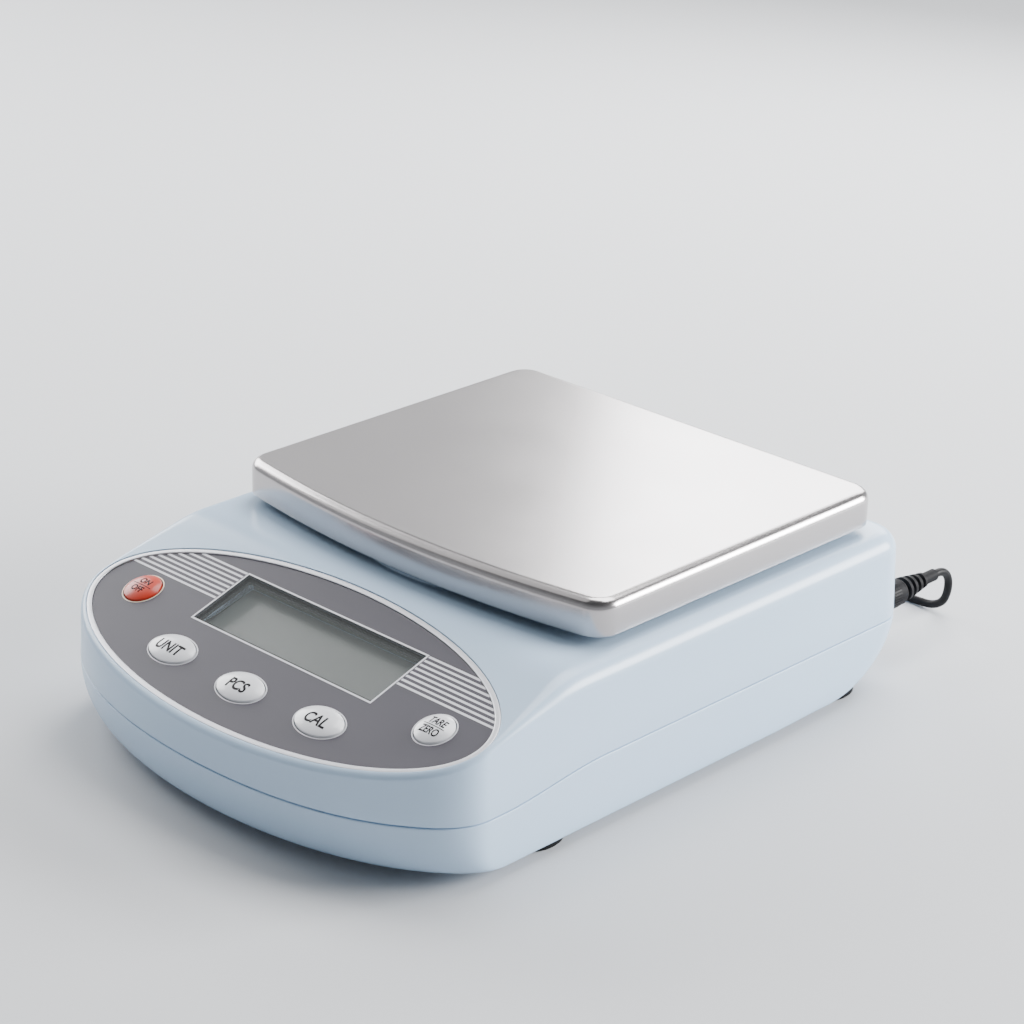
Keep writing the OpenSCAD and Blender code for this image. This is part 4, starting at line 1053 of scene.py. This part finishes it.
line_in = window_box(-FRAME_LAP, FRAME_CORNER)
line_out = window_box(FRAME_LINE, FRAME_CORNER)
shade_liner_in = window_box(SHADE_LINER_IN, SHADE_LINER_CORNER)
shade_liner_out = window_box(SHADE_LINER_OUT, WINDOW_CORNER - SHADE_LINER_GAP)
shade_mask_out = window_box(-SHADE_LINER_GAP, FRAME_CORNER)
# the liner and the mask are painted shade: black strips that darken the recess round the window
WINDOW_STRIPS = {
    "window_line": (line_in, line_out, PRINT_LEVELS, light_ink, "panel_film"),
    "window_liner": (shade_liner_in, shade_liner_out, SHADE_LINER_LEVELS, black_ink, "dark_plastic"),
    "window_mask": (shade_liner_in, shade_mask_out, SHADE_MASK_LEVELS, black_ink, "dark_plastic"),
}


def strip(name, inner, outer, levels, finish):
    low, high = levels
    corners = [(inner, low), (outer, low), (outer, high), (inner, high)]
    return skin(name, [on_panel(outline, w) for outline, w in corners], finish, "loop")


for name, (inner, outer, levels, finish, slot) in WINDOW_STRIPS.items():
    stand_in(strip(name, inner, outer, levels, finish), "base", slot)
print("strips", list(WINDOW_STRIPS))

# %% [markdown]
# ## Keys
# The five keys are domed caps that stand out of the panel: two round ones at the ends and three ovals
# between. A cap is a stack of ovals, from the retaining flange under the panel up to a dome that flattens
# in the middle.

# %% Key caps
KEY_PLAY = 0.45
FLANGE_TOP = PANEL_UNDER - KEY_PLAY
FLANGE_T = 1.1
FLANGE_LOW = FLANGE_TOP - FLANGE_T
FLANGE_OUT = 1.0
KEY_EDGE = 0.0
KEY_SIDE_DROP = 0.15
KEY_STEPS = 72
DOME_H = 1.2
DOME_POWER = 3.0
DOME_ARC = arc(8, 88, 18)
STEM_R = 2.0
STEM_END = FLANGE_LOW - 1.0


def dome(share):
    return KEY_EDGE + DOME_H * (1 - share**DOME_POWER)


def key_rings(a, b, at):
    stem = oval_outline(STEM_R, STEM_R, at, KEY_STEPS)
    flange = oval_outline(a + FLANGE_OUT, b + FLANGE_OUT, at, KEY_STEPS)
    side = oval_outline(a, b, at, KEY_STEPS)
    levels = [(stem, STEM_END), (stem, FLANGE_LOW), (flange, FLANGE_LOW), (flange, FLANGE_TOP)]
    levels += [(side, FLANGE_TOP), (side, KEY_EDGE - KEY_SIDE_DROP)]
    for share in np.cos(DOME_ARC):
        levels.append((oval_outline(a * share, b * share, at, KEY_STEPS), dome(share)))
    return [on_panel(outline, w) for outline, w in levels]


for name, (at, a, b) in KEYS.items():
    slot = "power_cap" if name == "power" else "white_cap"
    piece = skin("key_" + name, key_rings(a, b, at), SLOT_FINISH[slot])
    stand_in(shade(piece, TRIM_SHARP), name + "_key", slot, "button_" + name)
print("keys", list(KEYS))

# %% [markdown]
# ## Lettering on the keys
# The keys carry plain function words in narrow capitals, and the round keys a thin line between two
# words. A text object gives the outlines, which become a mesh. Long edges are split so that the thin
# letters can follow the dome, and each point is lifted to the height of the dome under it. Each word has
# its letter size, its squeeze sideways and its rise above the middle of the key.

# %% Lettering
LETTER_LIFT = 0.03
LETTER_BOLD = 0.026
LONGEST_EDGE = 0.6
SPLIT_ROUNDS = 5
LINE_T = 0.3
LINE_SHARE = 1.3
SQUARE = [(-1, -1), (1, -1), (1, 1), (-1, 1)]


def word_mesh(words, size, squeeze, rise):
    curve = bpy.data.curves.new(words, "FONT")
    curve.body = words
    curve.size = size
    curve.offset = LETTER_BOLD * size
    curve.align_x = "CENTER"
    curve.align_y = "CENTER"
    text = bpy.data.objects.new(words, curve)
    scene.collection.objects.link(text)
    mesh = bpy.data.meshes.new_from_object(text.evaluated_get(bpy.context.evaluated_depsgraph_get()))
    bpy.data.objects.remove(text)
    bm = bmesh.new()
    bm.from_mesh(mesh)
    flat = np.array([v.co for v in bm.verts])
    middle = (flat.min(axis=0) + flat.max(axis=0)) / 2
    for vert in bm.verts:
        vert.co = ((vert.co.x - middle[0]) * squeeze, vert.co.y - middle[1] + rise, 0)
    return bm


def line_mesh(length):
    bm = bmesh.new()
    bm.faces.new([bm.verts.new((x * length / 2, y * LINE_T / 2, 0)) for x, y in SQUARE])
    return bm


def on_dome(name, flat_parts, at, a, b, finish):
    mesh = bpy.data.meshes.new(name)
    whole = bmesh.new()
    for part in flat_parts:
        part.to_mesh(mesh)
        part.free()
        whole.from_mesh(mesh)
    bmesh.ops.triangulate(whole, faces=whole.faces)
    for _ in range(SPLIT_ROUNDS):
        long_edges = [e for e in whole.edges if e.calc_length() > LONGEST_EDGE]
        bmesh.ops.subdivide_edges(whole, edges=long_edges, cuts=1, use_grid_fill=False)
        bmesh.ops.triangulate(whole, faces=whole.faces)
    flat = np.array([v.co for v in whole.verts])
    share = np.hypot(flat[:, 0] / a, flat[:, 1] / b)
    lifted = panel_place(at[0] + flat[:, 0], at[1] + flat[:, 1], dome(share) + LETTER_LIFT)
    for vert, place in zip(whole.verts, lifted):
        vert.co = place * MM
    whole.to_mesh(mesh)
    whole.free()
    piece = bpy.data.objects.new(name, mesh)
    scene.collection.objects.link(piece)
    dress(piece, finish)
    solid = piece.modifiers.new("thickness", "SOLIDIFY")
    solid.thickness = 2 * LETTER_LIFT * MM
    solid.offset = -1
    return freeze(piece)


print("letters follow the dome in steps of", LONGEST_EDGE, "mm")

# %% Words
KEY_WORDS = {
    "power": [("ON", 3.4, 0.9, 1.95), ("OFF", 3.4, 0.85, -1.95)],
    "tare": [("TARE", 3.9, 0.72, 2.1), ("ZERO", 3.9, 0.72, -2.1)],
    "unit": [("UNIT", 5.9, 0.82, -0.6)],
    "pcs": [("PCS", 5.9, 0.85, -0.6)],
    "cal": [("CAL", 5.9, 0.85, -0.6)],
}
for name, words in KEY_WORDS.items():
    at, a, b = KEYS[name]
    parts = [word_mesh(*word) for word in words]
    if len(words) > 1:
        parts.append(line_mesh(LINE_SHARE * a))
    stand_in(on_dome("letters_" + name, parts, at, a, b, black_ink), name + "_key", "dark_plastic")
print("lettering", [" ".join(word[0] for word in words) for words in KEY_WORDS.values()])

# %% [markdown]
# ## Printed rings round the keys
# A thin pale line is printed on the panel round every key, cream round the orange one. It is the same
# strip as the window's line, between two ovals.

# %% Key rings
KEY_LINE_IN = KEY_GAP + 0.05
KEY_LINE_OUT = KEY_GAP + 0.45
for name, (at, a, b) in KEYS.items():
    inner = oval_outline(a + KEY_LINE_IN, b + KEY_LINE_IN, at, 96)
    outer = oval_outline(a + KEY_LINE_OUT, b + KEY_LINE_OUT, at, 96)
    finish = cream_ink if name == "power" else light_ink
    stand_in(strip("key_line_" + name, inner, outer, PRINT_LEVELS, finish), "base", "panel_film")
print("key rings", len(KEYS))

# %% [markdown]
# ## The weighing pan
# The pan is one sheet of stainless steel, folded down all round with a soft edge. Its front edge bows
# forward. Rings run from the inner top, over the inside of the edge, down the skirt, round its lower rim
# and back up outside. A narrow extra ring on the flat top keeps the shading of the flat face clean.

# %% Weighing pan
PAN_LOW, PAN_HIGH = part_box("weighing_pan")
PAN_HALF = PAN_HIGH.x / MM
PAN_BACK = PAN_HIGH.y / MM
PAN_FRONT = PAN_LOW.y / MM
PAN_TOP = PAN_HIGH.z / MM
PAN_BOTTOM = PAN_LOW.z / MM
PAN_BOW = 8.4
PAN_CORNER_R = 9.0
PAN_EDGE_R = 3.6
PAN_SHEET = 0.9
PAN_SHARP = math.radians(40)
FLAT_UNDER, FLAT_TOP = 1.2, 0.6
BOW_STEPS, BEND_STEPS, SIDE_RUNS, BACK_STEPS = 24, 18, 20, 12


def pan_outline():
    arc_r = (PAN_HALF**2 + PAN_BOW**2) / (2 * PAN_BOW)
    corner_x = PAN_HALF - PAN_CORNER_R
    arc_y = PAN_FRONT + arc_r
    corner_y = arc_y - math.sqrt((arc_r - PAN_CORNER_R) ** 2 - corner_x**2)
    arc_end = math.asin(corner_x / (arc_r - PAN_CORNER_R))
    b = np.linspace(0, arc_end, BOW_STEPS, endpoint=False)
    bow_n = np.column_stack([np.sin(b), -np.cos(b)])
    c = np.linspace(arc_end - math.pi / 2, 0, BEND_STEPS, endpoint=False)
    near_n = np.column_stack([np.cos(c), np.sin(c)])
    side_y = np.linspace(corner_y, PAN_BACK - PAN_CORNER_R, SIDE_RUNS, endpoint=False)
    d = np.radians(np.linspace(0, 90, BEND_STEPS, endpoint=False))
    far_n = np.column_stack([np.cos(d), np.sin(d)])
    back_x = np.linspace(corner_x, 0, BACK_STEPS)
    points = np.vstack([
        np.array([0, arc_y]) + arc_r * bow_n,
        np.array([corner_x, corner_y]) + PAN_CORNER_R * near_n,
        np.column_stack([np.full_like(side_y, PAN_HALF), side_y]),
        np.array([corner_x, PAN_BACK - PAN_CORNER_R]) + PAN_CORNER_R * far_n,
        np.column_stack([back_x, np.full_like(back_x, PAN_BACK)]),
    ])
    side_n = np.tile([1.0, 0.0], (len(side_y), 1))
    back_n = np.tile([0.0, 1.0], (len(back_x), 1))
    return mirrored(points), mirrored(np.vstack([bow_n, near_n, side_n, far_n, back_n]))


def pan_rings():
    points, normals = pan_outline()
    under = PAN_TOP - PAN_SHEET
    inner_r = PAN_EDGE_R - PAN_SHEET
    rim_r = PAN_SHEET / 2
    levels = [(PAN_EDGE_R + FLAT_UNDER, under)]
    for a in arc(90, 0, 9):
        levels.append((PAN_SHEET + inner_r * (1 - math.cos(a)), under - inner_r * (1 - math.sin(a))))
    for a in arc(0, 180, 7):
        levels.append((rim_r + rim_r * math.cos(a), PAN_BOTTOM + rim_r * (1 - math.sin(a))))
    for a in arc(0, 90, 13):
        levels.append((PAN_EDGE_R * (1 - math.cos(a)), PAN_TOP - PAN_EDGE_R * (1 - math.sin(a))))
    levels.append((PAN_EDGE_R + FLAT_TOP, PAN_TOP))
    return [at_height(points - normals * d, z) for d, z in levels]


steel_pan = skin("steel_pan", pan_rings(), pan_steel)
stand_in(shade(steel_pan, PAN_SHARP), "pan", "pan_steel", "weighing_pan")
print("pan", round(2 * PAN_HALF), "mm wide,", len(steel_pan.data.polygons), "faces")

# %% [markdown]
# ## Screws underneath
# Eight cross-head screws show on the underside: four hold the halves together and four hold the feet.
# They are alike, so one Geometry Nodes tree cuts a cross into a short cylinder and places it, with its
# shank, on points. The cross is sized as shares of the head, and the shank is as long as in the packed
# model.

# %% Screws
SHANK_R = 1.45
FOOT_HEAD_H, FOOT_HEAD_R = 1.3, 3.1
CASE_HEAD_H, CASE_HEAD_R = 2.3, 3.2
SLOT_WIDTH, SLOT_LENGTH, SLOT_DEPTH = 0.22, 1.2, 0.55
HEAD_SIDES, SHANK_SIDES = 40, 24
CUT_AWAY = {"operation": "DIFFERENCE", "solver": "EXACT"}


def screws(name, node, places, head_h, head_r):
    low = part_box(node)[0].z / MM
    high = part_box(node)[1].z / MM
    tree = Geometry(name, {
        "Head radius": head_r * MM, "Head height": head_h * MM, "Slot length": SLOT_LENGTH * head_r * MM,
        "Slot width": SLOT_WIDTH * head_r * MM, "Slot depth": SLOT_DEPTH * head_h * MM,
        "Shank radius": SHANK_R * MM, "Shank length": (high - low - head_h) * MM,
    })
    half = tree.given("Head height") / 2
    wide = tree.given("Slot width")
    long = tree.given("Slot length")
    screw = tree.cylinder(HEAD_SIDES, tree.given("Head radius"), tree.given("Head height"))
    for x, y in ((long, wide), (wide, long)):
        bar = tree.block(tree.vector(x, y, tree.given("Slot depth") * 2))
        slot = tree.moved(bar, tree.vector(0.0, 0.0, half * -1))
        screw = tree.node("GeometryNodeMeshBoolean", CUT_AWAY, {"Mesh 1": screw, "Mesh 2": slot})
    shank = tree.cylinder(SHANK_SIDES, tree.given("Shank radius"), tree.given("Shank length"))
    raised = tree.moved(shank, tree.vector(0.0, 0.0, half + tree.given("Shank length") / 2))
    whole = tree.tree.nodes.new("GeometryNodeJoinGeometry")
    for part in (screw, raised):
        tree.put(whole.inputs[0], part)
    joined = Wire(tree, whole.outputs[0])
    copies = tree.repeated(Points=tree.given("Geometry"), Instance=joined)
    start = bpy.data.meshes.new(name)
    start.from_pydata([(x * MM, y * MM, (low + head_h / 2) * MM) for x, y in places], [], [])
    return shade(tree.make(name, copies, zinc, start))


foot_fixings = screws("foot_fixings", "foot_screws", foot_places, FOOT_HEAD_H, FOOT_HEAD_R)
case_fixings = screws("case_fixings", "case_screws", case_screw_places, CASE_HEAD_H, CASE_HEAD_R)
stand_in(foot_fixings, "base", "zinc_screws", "foot_screws")
stand_in(case_fixings, "base", "zinc_screws", "case_screws")
print("screws", len(foot_places) + len(case_screw_places))

# %% [markdown]
# ## Grip on the plug
# The barrel plug has a ring of fine raised bars that fingers hold. They stand round a circle, so a tree
# places one small bar on each point of a circle and turns it outwards.

# %% Plug grip
GRIP_BARS = 30
GRIP_R = 4.7
GRIP_BAR_W = 0.5
GRIP_FROM_Y, GRIP_TO_Y = 123.5, 136.5
GRIP_MIDDLE_Y = (GRIP_FROM_Y + GRIP_TO_Y) / 2


def plug_grip():
    tree = Geometry("plug_grip", {
        "Bars": GRIP_BARS, "Radius": GRIP_R * MM, "Width": GRIP_BAR_W * MM,
        "Length": (GRIP_TO_Y - GRIP_FROM_Y) * MM,
    })
    sockets = {"Vertices": tree.given("Bars"), "Radius": tree.given("Radius")}
    circle = tree.node("GeometryNodeMeshCircle", {}, sockets)
    out = tree.node("GeometryNodeInputPosition", {}, {})
    turn = tree.node("FunctionNodeAlignRotationToVector", {"axis": "X"}, {"Vector": out})
    bar = tree.block(tree.vector(tree.given("Width"), tree.given("Width"), tree.given("Length")))
    bars = tree.repeated(Points=circle, Instance=bar, Rotation=turn)
    middle = (JACK.x * MM, GRIP_MIDDLE_Y * MM, JACK.z * MM)
    return tree.make("plug_grip", tree.moved(bars, middle, (math.radians(90), 0, 0)), cord_vinyl)


grip = stand_in(plug_grip(), "lead", "cord_vinyl")
print("grip bars", GRIP_BARS)

# %% [markdown]

# %% [markdown]
# ## Floor and light
# The light comes from behind on the right, from the left and from above, so that the flank is bright and
# the front falls into a soft shade. Two boxes stand low behind the object: a metal top seen from in front
# mirrors what is there, so the bright box makes the pan shine and the dim one beside it gives its left
# side a quiet grey. One more dim box, high on the left, is there for the pan's rounded edge. Each light
# has its place, its aim, its size and its watts. The surroundings are pale at the horizon and darker
# overhead, as in a studio with a curved backdrop.

# %% Floor and lights
FLOOR_REACH = 6.0
FLOOR_COLOUR = srgb(200, 202, 205)
LIGHTS = {
    "right_rear": ((0.98, 1.06, 0.5), (0, 0, 0.05), (0.9, 0.6), 62),
    "left": ((-1.25, 0.1, 0.6), (0, 0, 0.04), (0.9, 0.7), 21),
    "behind": ((-0.33, 0.82, 0.46), (0, 0.03, 0.07), (0.56, 0.45), 8),
    "behind_left": ((-0.88, 0.82, 0.52), (0, 0.03, 0.07), (0.56, 0.45), 0.55),
    "above": ((-0.05, 0.5, 1.2), (0, 0.02, 0.05), (1.0, 0.7), 19),
    "left_high": ((-0.85, -0.15, 1.05), (0, 0, 0.06), (1.4, 1.4), 5),
}
SKY_COLOUR = (0.93, 0.96, 1.0, 1.0)
SKY_HORIZON, SKY_ZENITH = 0.55, 0.1
SKY_FADE = 0.85


def add_floor():
    mesh = bpy.data.meshes.new("floor")
    mesh.from_pydata([(x * FLOOR_REACH, y * FLOOR_REACH, 0) for x, y in SQUARE], [], [(0, 1, 2, 3)])
    floor = bpy.data.objects.new("floor", mesh)
    scene.collection.objects.link(floor)
    dress(floor, Finish("floor").set(Base_Color=FLOOR_COLOUR, Roughness=0.9))


def add_light(name, at, aim, size, watts):
    light = bpy.data.lights.new(name, "AREA")
    light.shape = "RECTANGLE"
    light.size, light.size_y = size
    light.energy = watts
    lamp = bpy.data.objects.new(name, light)
    lamp.location = at
    lamp.rotation_euler = (Vector(aim) - Vector(at)).to_track_quat("-Z", "Y").to_euler()
    scene.collection.objects.link(lamp)


def add_world():
    world = bpy.data.worlds.new("studio")
    world.use_nodes = True
    tree = Tree(world.node_tree)
    way = tree.node("ShaderNodeTexCoord", {}, {}, "Generated")
    height = tree.node("ShaderNodeSeparateXYZ", {}, {0: way}, "Z")
    sockets = {"Value": height, "From Max": SKY_FADE, "To Min": SKY_HORIZON, "To Max": SKY_ZENITH}
    fade = tree.node("ShaderNodeMapRange", {"interpolation_type": "SMOOTHSTEP"}, sockets)
    back = world.node_tree.nodes["Background"]
    tree.put(back.inputs["Color"], SKY_COLOUR)
    tree.put(back.inputs["Strength"], fade)
    scene.world = world


add_floor()
for name, setting in LIGHTS.items():
    add_light(name, *setting)
add_world()
print("lights", list(LIGHTS))
